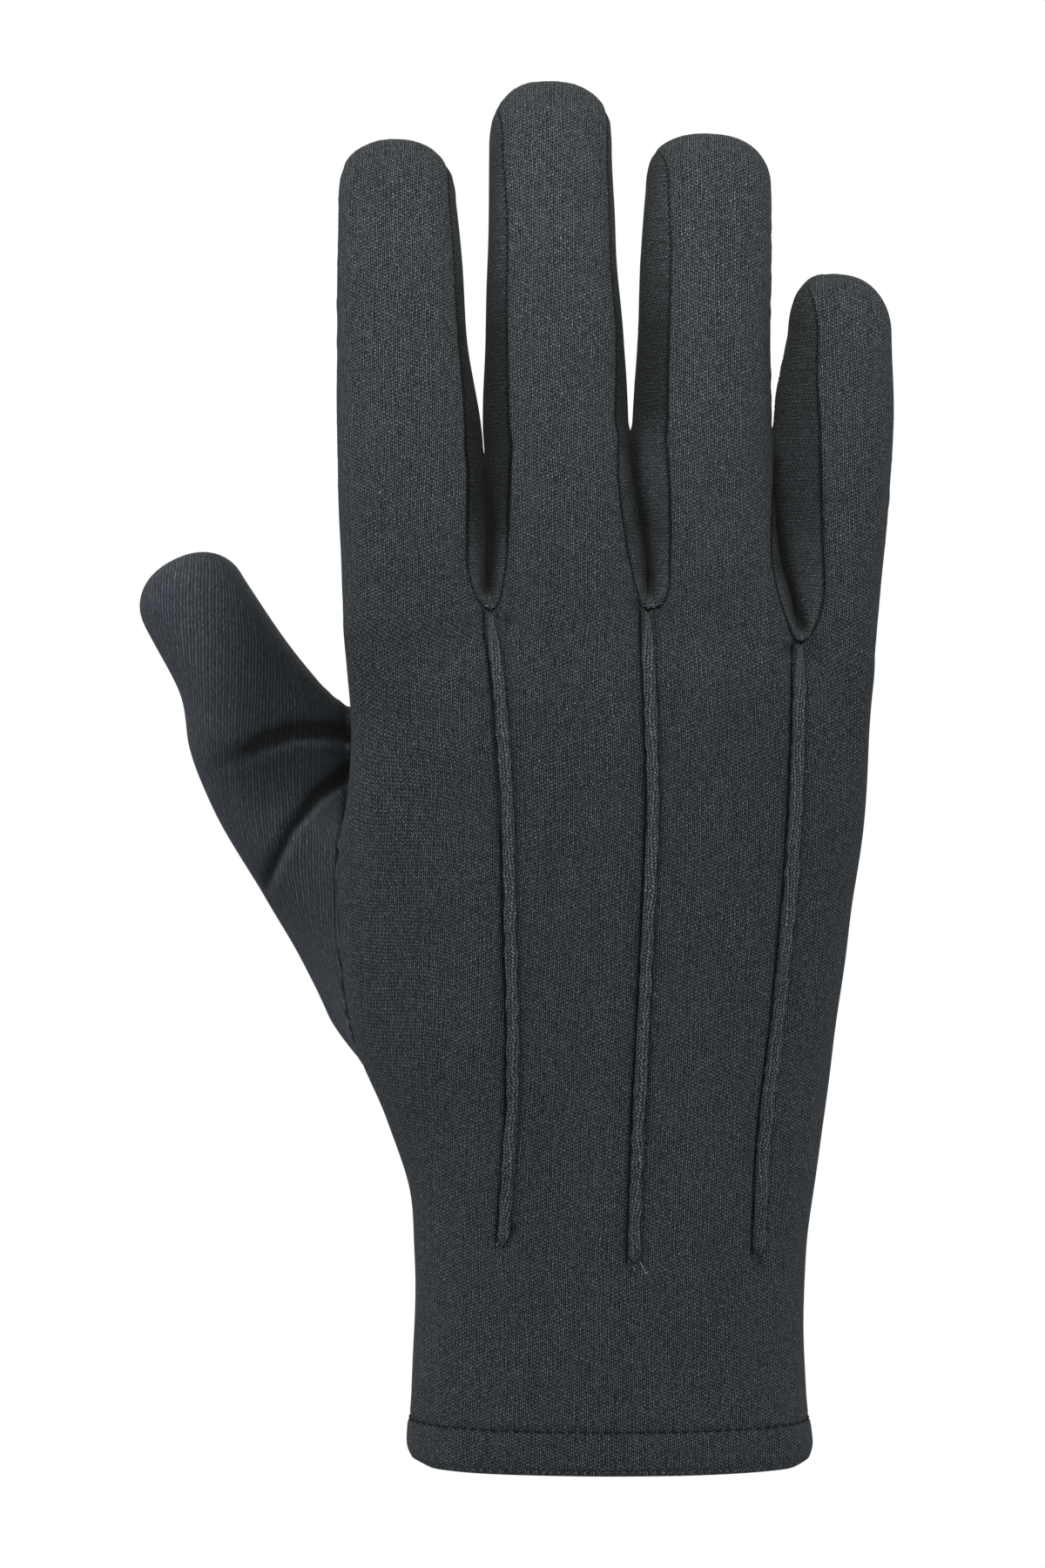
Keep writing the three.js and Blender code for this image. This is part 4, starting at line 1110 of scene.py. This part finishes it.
# A panel of cloth: the outer surface, the inner one a wall's thickness under it, and edges
def clothPanel(piece):
    quads = pieceQuads[piece]
    uvs = np.concatenate([cornersOf(grid["uv"]) for grid in gridsOf(piece)])
    used, flatQuads = np.unique(quads, return_inverse=True)
    quads = flatQuads.reshape(-1, 4)
    place = np.full(surface.count, -1)
    place[used] = np.arange(len(used))
    under = len(used)
    kept = quads != np.roll(quads, -1, axis=1)
    faces = [face[keep].tolist() for face, keep in zip(quads, kept)]
    corners = [uvs[kept]]
    faces += [[under + n for n in reversed(face)] for face in faces]
    corners.append(np.concatenate([uv[keep][::-1] for uv, keep in zip(uvs, kept)]))
    edges = place[borders[piece]]
    firstWall = len(faces)
    uvOf = np.zeros((under, 2))
    uvOf[quads.ravel()] = uvs.reshape(-1, 2)
    a, b = edges[:, 0], edges[:, 1]
    faces += np.stack([b, a, a + under, b + under], axis=1).tolist()
    corners.append(np.stack([uvOf[b], uvOf[a], uvOf[a], uvOf[b]], axis=1).reshape(-1, 2))
    verts = np.concatenate([outer[used], outer[used] - shaded[used] * wallAt[used, None]])
    panel = makeObject(piece + "_knit", verts, faces, np.concatenate(corners),
                       np.arange(firstWall, len(faces)))
    # The painted shade and painted light as a point attribute, none on the inner surface
    paintedShade = panel.data.attributes.new("paintedShade", "FLOAT", "POINT")
    paintedShade.data.foreach_set("value", np.concatenate([surfacePaintedShade[used], 0 * surfacePaintedShade[used]]))
    return panel


# A closed body through rings of points, as rows by columns by 3
def ringBody(name, rings, uvs, hoop=False):
    rows, columns = rings.shape[:2]
    numbers = closed(np.arange(rows * columns).reshape(rows, columns))
    uvs = closed(uvs)
    if hoop:
        numbers = np.concatenate([numbers, numbers[:1]])
        uvs = np.concatenate([uvs, uvs[:1]])
    quads = cellsOf(numbers)
    corners = cornersOf(uvs).reshape(-1, 2)
    faces = quads.tolist()
    if not hoop:
        faces += [numbers[0, :-1][::-1].tolist(), numbers[-1, :-1].tolist()]
        corners = np.concatenate([corners, uvs[0, :-1][::-1], uvs[-1, :-1]])
    return makeObject(name, rings.reshape(-1, 3), faces, corners)


def resample(path, step):
    along = alongPath(path)
    count = max(2, round(along[-1] / step))
    at = np.linspace(0, along[-1], count + 1)
    return np.stack([np.interp(at, along, path[:, n]) for n in range(path.shape[1])], axis=-1), at


def tuckRidge(name, n):
    column = (n + 1) * perCell
    numbers = hand[1:, column]
    numbers = numbers[points[numbers][:, 2] > tuck["ends"][n]]
    path, along = resample(np.concatenate([points[numbers], normals[numbers]], axis=1), tuck["step"])
    spine, up = path[:, :3], unit(path[:, 3:])
    forward = unit(np.gradient(spine, axis=0))
    across = unit(np.cross(up, forward))
    size = mix(tuck["topSize"], 1, ramp(along, 0, tuck["topOver"]))
    size = size * mix(tuck["endSize"], 1, fall(along, along[-1], tuck["endOver"]))
    wiggle = waves(spine, tuck["wiggle"])
    swell = 1 + waves(spine, tuck["swell"])
    angles = np.radians(np.linspace(-90, 90, tuck["profile"]))
    power = 2 / tuck["power"]
    sideways = signedPower(np.sin(angles), power) / 2
    sunk = -tuck["sunk"] / tuck["height"]
    profile = [(sideways[0], sunk), *zip(sideways, np.cos(angles) ** power), (sideways[-1], sunk)]
    profile = np.array(profile)
    side = profile[None, :, 0] * tuck["width"] * (size * swell)[:, None]
    high = profile[None, :, 1] * tuck["height"] * (size * swell)[:, None]
    side = side + wiggle[:, None] + tuck["lean"] * np.maximum(0, profile[None, :, 1])
    rings = spine[:, None] - across[:, None] * side[..., None] + up[:, None] * high[..., None]
    uvs = np.stack(np.broadcast_arrays(alongPath(rings[0])[None, :], -along[:, None]), axis=-1)
    return ringBody(name + "_fold", rings, uvs)


# The turned-up hem: it takes up the panels' edge, curls in and stands inside the cuff
def hemFold():
    numbers = hand[-1, :-1]
    inward = -unit(shaded[numbers] * [1, 1, 0])
    lift = hem["cornerLift"] * atCorner(points[numbers][:, 0])
    wall, gap, foot, top = glove["wall"], hem["gap"], mesh["foot"], hem["inner"]
    turn = np.radians(np.linspace(0, 180, hem["foldRows"]))
    across = (1 - np.cos(turn)) * (wall + gap / 2)
    drop = foot - np.sin(turn) ** hem["foldRoundness"] * foot
    climb = np.linspace(foot, top, hem["innerRows"])[1:]
    profile = list(zip(across, drop)) + [(2 * wall + gap, z) for z in climb]
    profile += [(2 * wall - hem["edgeIn"], top + hem["edgeRise"]), (wall + 1.5 * gap, top)]
    profile += [(wall + gap, z) for z in climb[::-1][1:]] + [(wall + gap, foot + gap)]
    rows = hand[::-1, :-1]
    rings = []
    for depth, z in profile:
        base = outer[numbers]
        if z > foot:
            r = min((z - foot) / mesh["step"], len(rows) - 2)
            base = mix(points[rows[int(r)]], points[rows[int(r) + 1]], r - int(r))
        ring = base + inward * depth
        ring[:, 2] = z + max(0, foot - z) * lift
        rings.append(ring)
    rings = np.array(rings).transpose(1, 0, 2)
    around, girth = alongPath(rings[:, 0]), alongPath(rings[0])
    uvs = np.stack(np.broadcast_arrays(around[:, None], -girth[None, :]), axis=-1)
    return ringBody("cuff_hem_fold", rings[::-1], uvs[::-1], hoop=True)


# Short thread stitches: each is a thin rod with round ends, bowed over the cloth
def threads(name, stitches, radius, sidesRound=6, taper=(0.35, 0.9, 1, 1, 0.9, 0.35)):
    angles = np.linspace(0, 2 * math.pi, sidesRound + 1)[:-1]
    numbers = np.arange(len(taper) * sidesRound).reshape(len(taper), sidesRound)
    rod = cellsOf(closed(numbers)).tolist() + [numbers[0, ::-1].tolist(), numbers[-1].tolist()]
    verts, faces = [], []
    for start, end, up, bow in stitches:
        along = end - start
        side = unit(np.cross(up, unit(along)))
        faces += [[len(verts) * numbers.size + n for n in face] for face in rod]
        rings = []
        for n, size in enumerate(taper):
            t = n / (len(taper) - 1)
            centre = start + along * t + up * bow * math.sin(math.pi * t)
            ring = [centre + (side * math.cos(a) + up * math.sin(a)) * radius * size for a in angles]
            rings.append(ring)
        verts.append(rings)
    return makeObject(name, np.array(verts).reshape(-1, 3), faces)


def addNode(tree, kind, inputs=None, **settings):
    node = tree.nodes.new(kind)
    for name, value in settings.items():
        setattr(node, name, value)
    for key, value in (inputs or {}).items():
        if isinstance(value, bpy.types.NodeSocket):
            tree.links.new(value, node.inputs[key])
        else:
            node.inputs[key].default_value = value
    return node


def calc(tree, operation, a, b=0.0, c=0.0):
    node = addNode(tree, "ShaderNodeMath", {0: a, 1: b, 2: c}, operation=operation)
    return node.outputs[0]


# Interlock knit from coordinates in millimetres: wales of V-shaped stitches with two
# slanting legs each, every second wale dropped by half a course
knit = {
    "inputs": {"Wale": 0.7, "Course": 0.58, "Wobble": 0.42, "Depth": 2.2, "Rib": 0.0},
    "drift": 1.6, "driftScale": 0.07,     # slow bends in the wales
    "shakeScale": 1.6,
    "slant": -0.9, "sharpness": 2.2,
    "leastLeg": 0.75, "unevenLegs": 0.8, "darkLeg": -0.3,
    "fuzz": 0.3, "fuzzScale": 5.0, "fuzzTone": 0.4,
    "level": 0.24,        # height that keeps the plain colour
    "streaks": 0.1, "darkest": 0.08,
}


def interlockKnit():
    group = bpy.data.node_groups.new("interlockKnit", "ShaderNodeTree")
    face = group.interface
    face.new_socket("Vector", in_out="INPUT", socket_type="NodeSocketVector")
    for name, value in knit["inputs"].items():
        socket = face.new_socket(name, in_out="INPUT", socket_type="NodeSocketFloat")
        socket.default_value = value
    face.new_socket("Height", in_out="OUTPUT", socket_type="NodeSocketFloat")
    face.new_socket("Tone", in_out="OUTPUT", socket_type="NodeSocketFloat")
    leave = group.nodes.new("NodeGroupOutput")
    get = group.nodes.new("NodeGroupInput").outputs

    def op(operation, *values):
        return calc(group, operation, *values)

    def noise(scale, detail):
        inputs = {"Vector": get["Vector"], "Scale": scale, "Detail": detail}
        return addNode(group, "ShaderNodeTexNoise", inputs).outputs

    def parts(vector):
        return addNode(group, "ShaderNodeSeparateXYZ", {0: vector}).outputs

    place = parts(get["Vector"])
    drift = parts(noise(knit["driftScale"], 1.0)["Color"])
    shake = parts(noise(knit["shakeScale"], 1.0)["Color"])
    units = []
    for axis, pitch in (("X", "Wale"), ("Y", "Course")):
        moved = op("MULTIPLY_ADD", drift[axis], knit["drift"], place[axis])
        shaken = op("MULTIPLY_ADD", shake[axis], get["Wobble"], moved)
        units.append(op("DIVIDE", shaken, get[pitch]))
    across, along = units
    wale = op("ROUND", across)
    legAt = op("MULTIPLY", op("ABSOLUTE", op("SUBTRACT", across, wale)), 2.0)
    dropped = op("MULTIPLY_ADD", op("FLOORED_MODULO", wale, 2.0), 0.5, along)
    slanted = op("MULTIPLY_ADD", legAt, knit["slant"], dropped)
    course = op("ROUND", slanted)
    leg = op("SINE", op("MULTIPLY", legAt, math.pi))
    loop = op("COSINE", op("MULTIPLY", op("SUBTRACT", slanted, course), math.pi))
    plainRib = op("MULTIPLY", op("SUBTRACT", 1.0, loop), get["Rib"])
    stitch = op("POWER", op("MULTIPLY", leg, op("ADD", loop, plainRib)), knit["sharpness"])

    legCount = op("FLOOR", op("MULTIPLY", across, 2.0))
    cell = addNode(group, "ShaderNodeCombineXYZ", {0: legCount, 1: course}).outputs[0]
    each = addNode(group, "ShaderNodeTexWhiteNoise", {"Vector": cell}).outputs["Value"]
    streak = addNode(group, "ShaderNodeTexWhiteNoise", {"W": wale}, noise_dimensions="1D")
    fibre = noise(knit["fuzzScale"], 2.0)["Fac"]
    uneven = op("MULTIPLY_ADD", each, knit["unevenLegs"], knit["leastLeg"])
    twist = op("MULTIPLY_ADD", op("FLOORED_MODULO", legCount, 2.0), knit["darkLeg"], uneven)
    height = op("MULTIPLY", stitch, twist)
    fuzzy = op("MULTIPLY_ADD", fibre, knit["fuzz"], height)
    group.links.new(op("SUBTRACT", fuzzy, knit["fuzz"] / 2), leave.inputs["Height"])

    tone = op("MULTIPLY", op("SUBTRACT", height, knit["level"]), get["Depth"])
    tone = op("MULTIPLY_ADD", op("SUBTRACT", fibre, 0.5), knit["fuzzTone"], tone)
    streaks = op("SUBTRACT", streak.outputs["Value"], 0.5)
    tone = op("MULTIPLY_ADD", streaks, knit["streaks"], tone)
    tone = op("MAXIMUM", op("ADD", tone, 1.0), knit["darkest"])
    group.links.new(tone, leave.inputs["Tone"])
    return group


knitGroup = interlockKnit()

# The kinds of knit: colour, width of a wale, height of a course, strength and ribs
finishColumns = ("Color", "Wale", "Course", "Depth", "Rib")
# The fourchettes' colour is darker than the cotton's: painted shade between the fingers. The tucks'
# colour is lighter: painted light on their raised ridges.
finishes = {
    "cotton_knit": ((0.0457, 0.0551, 0.0648), 0.7, 0.58, 3.9, 0),
    "thumb_knit": ((0.0415, 0.0502, 0.0612), 1.15, 0.58, 1.5, 0.85),
    "fourchette_knit": ((0.0378, 0.0458, 0.053), 0.7, 0.58, 3.2, 0),
    "tuck_knit": ((0.052, 0.062, 0.0705), 0.62, 0.55, 3.2, 0),
    "hem_knit": ((0.045, 0.053, 0.0605), 0.7, 0.58, 3.4, 0),
}
cloth = {
    "sockets": {"Roughness": 0.92, "Specular IOR Level": 0.12, "Sheen Weight": 0.05,
                "Sheen Roughness": 0.45},
    "bump": 0.8, "bumpHeight": 0.00012,
    "patchScale": 70.0, "patches": 0.22, "darkPatch": 0.89, "paintedShade": -0.92,
}
threadColors = {"darkThread": (0.011, 0.013, 0.016), "looseThread": (0.3, 0.32, 0.34)}
twistedThread = {
    "sockets": {"Roughness": 0.85, "Specular IOR Level": 0.15},
    "bump": 0.5, "bumpHeight": 0.00005,
    "fuzzScale": 6000.0, "fuzz": 1.2, "darkFuzz": 0.4,
}


def newMaterial(name):
    material = bpy.data.materials.new(name)
    material.use_nodes = True
    return material, material.node_tree, material.node_tree.nodes["Principled BSDF"]


def objectNoise(tree, scale, detail):
    spot = addNode(tree, "ShaderNodeTexCoord").outputs["Object"]
    inputs = {"Vector": spot, "Scale": scale, "Detail": detail}
    return addNode(tree, "ShaderNodeTexNoise", inputs).outputs["Fac"]


# Sets a material's plain sockets, its colour times a tone, and a height as bump
def finishSurface(tree, shader, look, color, tone, height):
    for socket, value in look["sockets"].items():
        shader.inputs[socket].default_value = value
    tinted = addNode(tree, "ShaderNodeVectorMath", {0: color, "Scale": tone}, operation="SCALE")
    tree.links.new(tinted.outputs["Vector"], shader.inputs["Base Color"])
    bump = addNode(tree, "ShaderNodeBump", {"Height": height, "Strength": look["bump"],
                                            "Distance": look["bumpHeight"]})
    tree.links.new(bump.outputs["Normal"], shader.inputs["Normal"])


def knitMaterial(name):
    material, tree, shader = newMaterial(name)
    finish = dict(zip(finishColumns, finishes[name]))
    color = finish.pop("Color")
    uv = addNode(tree, "ShaderNodeUVMap", uv_map="knit")
    stitches = addNode(tree, "ShaderNodeGroup", node_tree=knitGroup)
    tree.links.new(uv.outputs["UV"], stitches.inputs["Vector"])
    for socket, value in finish.items():
        stitches.inputs[socket].default_value = value
    cloud = objectNoise(tree, cloth["patchScale"], 3.0)
    patch = calc(tree, "MULTIPLY_ADD", cloud, cloth["patches"], cloth["darkPatch"])
    # Painted shade darkens the colour, painted light lightens it
    paintedShade = addNode(tree, "ShaderNodeAttribute", attribute_name="paintedShade").outputs["Fac"]
    shade = calc(tree, "MULTIPLY_ADD", paintedShade, cloth["paintedShade"], 1.0)
    tone = calc(tree, "MULTIPLY", calc(tree, "MULTIPLY", stitches.outputs["Tone"], patch), shade)
    finishSurface(tree, shader, cloth, color, tone, stitches.outputs["Height"])
    return material


def threadMaterial(name):
    material, tree, shader = newMaterial(name)
    fuzz = objectNoise(tree, twistedThread["fuzzScale"], 2.0)
    tone = calc(tree, "MULTIPLY_ADD", fuzz, twistedThread["fuzz"], twistedThread["darkFuzz"])
    finishSurface(tree, shader, twistedThread, threadColors[name], tone, fuzz)
    return material


materials = {name: knitMaterial(name) for name in finishes}
materials.update({name: threadMaterial(name) for name in threadColors})


def dress(obj, slot, finish=None):
    obj.data.materials.append(materials[finish or slot])
    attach(obj, "root")
    return obj


panelSlots = {"back_panel": "cotton_knit", "palm_panel": "cotton_knit", "thumb": "thumb_knit"}
for piece in pieceQuads:
    panel = dress(clothPanel(piece), panelSlots.get(piece, "fourchette_knit"))
    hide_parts(piece)
print("panels made")

for n, name in enumerate(tuckLines):
    fold = dress(tuckRidge(name, n), "tuck_knit")
    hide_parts(name)
cuffHem = dress(hemFold(), "hem_knit")
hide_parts("cuff_hem")
print("tucks and hem made")

# Stitches: lengths in millimetres along the seam, and how far they slant across it
stitching = {
    "thumb": {"pitch": 1.05, "length": 0.66, "slant": 0.1, "lift": 0.5, "bow": 0.08,
              "radius": 0.13, "sides": 5, "frontward": (0, -1.5, 0)},
    "fork": {"pitch": 1.0, "length": 0.6, "slant": 0.16, "lift": 0.12, "bow": 0.06,
             "radius": 0.12, "sides": 5},
    "hem": {"pitch": 1.9, "length": 1.25, "slant": 0.05, "lift": 0.12, "bow": 0.1,
            "radius": 0.15, "sides": 6},
}


def stitchAlong(line, kind):
    sizes = stitching[kind]
    path, along = resample(line, sizes["pitch"])
    spots, ups = path[:, :3], unit(path[:, 3:])
    stitches = []
    for n in range(len(spots) - 1):
        forward = unit(spots[n + 1] - spots[n])
        across = np.cross(forward, ups[n]) * sizes["slant"]
        start = spots[n] + ups[n] * sizes["lift"] - across
        end = spots[n] + forward * sizes["length"] + ups[n] * sizes["lift"] + across
        stitches.append((start, end, ups[n], sizes["bow"]))
    return stitches


def sew(name, lines, kind, slot):
    sizes = stitching[kind]
    stitches = sum((stitchAlong(line, kind) for line in lines), [])
    dress(threads(name, stitches, sizes["radius"], sizes["sides"]), slot, "darkThread")


# A line of points on the cloth, each with the direction away from it
def clothLine(numbers, turned=(0, 0, 0)):
    return np.concatenate([outer[numbers], unit(shaded[numbers] + turned)], axis=1)


# Up one edge of a part, on to half of the fingertip
def seamLine(part, column):
    return clothLine(partNumbers[part][1:-mesh["domeRows"] // 2, column])


partNumbers = {grid["part"]: grid["numbers"] for grid in surface.grids}
for n, name in enumerate(forkNames):
    walls = ("right%d" % n, "left%d" % (n + 1))
    lines = [seamLine(wall, edge) for wall in walls for edge in (0, -1)]
    sew(name + "_stitches", lines, "fork", "fourchette_knit")
thumbEdge = partNumbers["thumb"][0, :footRow - topRow + 1]
thumbLine = clothLine(thumbEdge, stitching["thumb"]["frontward"])
sew("thumb_stitches", [thumbLine], "thumb", "thumb_knit")
hemRow = int(np.argmin(np.abs(points[hand[:, 0]][:, 2] - hem["height"])))
sew("cuff_hem_stitches", [clothLine(hand[hemRow])], "hem", "hem_knit")

# Loose ends of thread where the tucks stop, and bits of it along them
looseEnds = {"radius": 0.06, "endLift": 0.05, "glintLift": 0.12, "glintBow": 0.12,
             "glintHalf": (0.15, 0.28)}

# Each from x, z to x, z, its height over the cloth at the start, and its bow
strands = [
    (-18.9, 40.6, -18.5, 38.4, 0.5, 0.3), (-19.0, 39.2, -19.5, 38.3, 0.2, 0.2),
    (4.5, 36.3, 5.6, 33.9, 0.3, 0.2), (5.5, 34.0, 6.0, 34.6, 0.2, 0.1),
    (3.4, 35.4, 3.8, 34.3, 0.1, 0.1), (24.7, 44.3, 24.6, 43.5, 0.7, 0.1),
    (25.5, 36.9, 25.6, 36.1, 0.5, 0.2),
]

# Where a bit of pale fibre lies on a tuck's side: x and z
glints = [
    (-17.2, 97.0), (-16.5, 84.9), (-16.2, 75.5), (-15.7, 71.3), (-16.5, 66.7), (-15.9, 63.2),
    (-17.4, 51.1), (7.2, 116.4), (7.2, 99.3), (7.2, 81.0), (7.9, 60.5), (5.6, 45.5),
    (32.9, 118.6), (31.9, 107.0), (30.1, 90.2), (28.7, 79.4), (28.1, 71.1),
]


def looseThreads():
    back = np.unique(pieceQuads["back_panel"])
    back = back[outer[back][:, 1] < 0]
    tree = placeTree(outer[back] * [1, 0, 1], back)

    def over(x, z, lift):
        n = tree.find((x, 0, z))[1]
        return np.array([x, outer[n][1], z]) + shaded[n] * lift, shaded[n]

    stitches = []
    for fromX, fromZ, toX, toZ, lift, bow in strands:
        start, up = over(fromX, fromZ, lift)
        end, _ = over(toX, toZ, looseEnds["endLift"])
        stitches.append((start, end, up, bow))
    for x, z in glints:
        turn = random.uniform(0, math.pi)
        half = random.uniform(*looseEnds["glintHalf"])
        reachX, reachZ = math.cos(turn) * half, math.sin(turn) * half
        start, up = over(x - reachX, z - reachZ, looseEnds["glintLift"])
        end, _ = over(x + reachX, z + reachZ, looseEnds["glintLift"])
        stitches.append((start, end, up, looseEnds["glintBow"]))
    return threads("tuck_thread_ends", stitches, looseEnds["radius"])


dress(looseThreads(), "tuck_knit", "looseThread")
print("stitches made")


# A pale floor far under the glove, and soft light from the front and above
studio = {
    "floorZ": -0.3, "floorRadius": 12, "floorColor": (0.85, 0.85, 0.85, 1),
    "floorRoughness": 0.9, "world": 0.42,
    "lights": [
        {"name": "softKey", "watts": 1.68, "size": (0.5, 0.4), "place": (0.0, -0.5, 0.45),
         "aim": (0, 0, 0.1), "color": (1, 1, 1)},
        {"name": "topGlow", "watts": 0.15, "size": (0.18, 0.06), "place": (0.0, -0.13, 0.265),
         "aim": (0, 0, 0.2), "color": (1, 0.95, 0.72)},
        {"name": "rightGlow", "watts": 0.13, "size": (0.2, 0.3), "place": (0.32, -0.06, 0.12),
         "aim": (0.04, 0, 0.11), "color": (1, 1, 1)},
        {"name": "leftGlow", "watts": 0.25, "size": (0.2, 0.2), "place": (-0.32, -0.04, 0.17),
         "aim": (-0.06, 0, 0.14), "color": (1, 1, 1)},
    ],
}


def addFloor():
    corners = 96
    angles = np.linspace(0, 2 * math.pi, corners + 1)[:-1]
    rim = np.stack([np.cos(angles), np.sin(angles), 0 * angles], axis=-1)
    verts = rim * studio["floorRadius"] * 1000 + [0, 0, studio["floorZ"] * 1000]
    floor = makeObject("floor", verts, [list(range(corners))])
    paint, tree, shader = newMaterial("paleFloor")
    shader.inputs["Base Color"].default_value = studio["floorColor"]
    shader.inputs["Roughness"].default_value = studio["floorRoughness"]
    glow = addNode(tree, "ShaderNodeEmission", {"Strength": 1.0})
    path = addNode(tree, "ShaderNodeLightPath")
    both = addNode(tree, "ShaderNodeMixShader",
                   {0: path.outputs["Is Camera Ray"], 1: shader.outputs[0], 2: glow.outputs[0]})
    tree.links.new(both.outputs[0], tree.nodes["Material Output"].inputs["Surface"])
    floor.data.materials.append(paint)


def addLights():
    for light in studio["lights"]:
        data = bpy.data.lights.new(light["name"], "AREA")
        data.energy = light["watts"]
        data.color = light["color"]
        data.shape = "RECTANGLE"
        data.size, data.size_y = light["size"]
        lamp = bpy.data.objects.new(light["name"], data)
        lamp.location = light["place"]
        aim = Vector(light["aim"]) - lamp.location
        lamp.rotation_euler = aim.to_track_quat("-Z", "Y").to_euler()
        lamp.visible_camera = False
        bpy.context.scene.collection.objects.link(lamp)
    world = bpy.data.worlds.new("studio")
    world.use_nodes = True
    tree = world.node_tree
    direct = addNode(tree, "ShaderNodeLightPath").outputs["Is Camera Ray"]
    seen = calc(tree, "MULTIPLY_ADD", direct, 1 - studio["world"], studio["world"])
    background = tree.nodes["Background"]
    background.inputs["Color"].default_value = (1, 1, 1, 1)
    tree.links.new(seen, background.inputs["Strength"])
    bpy.context.scene.world = world
    bpy.context.scene.view_settings.view_transform = "Standard"


addFloor()
addLights()
print("studio set")
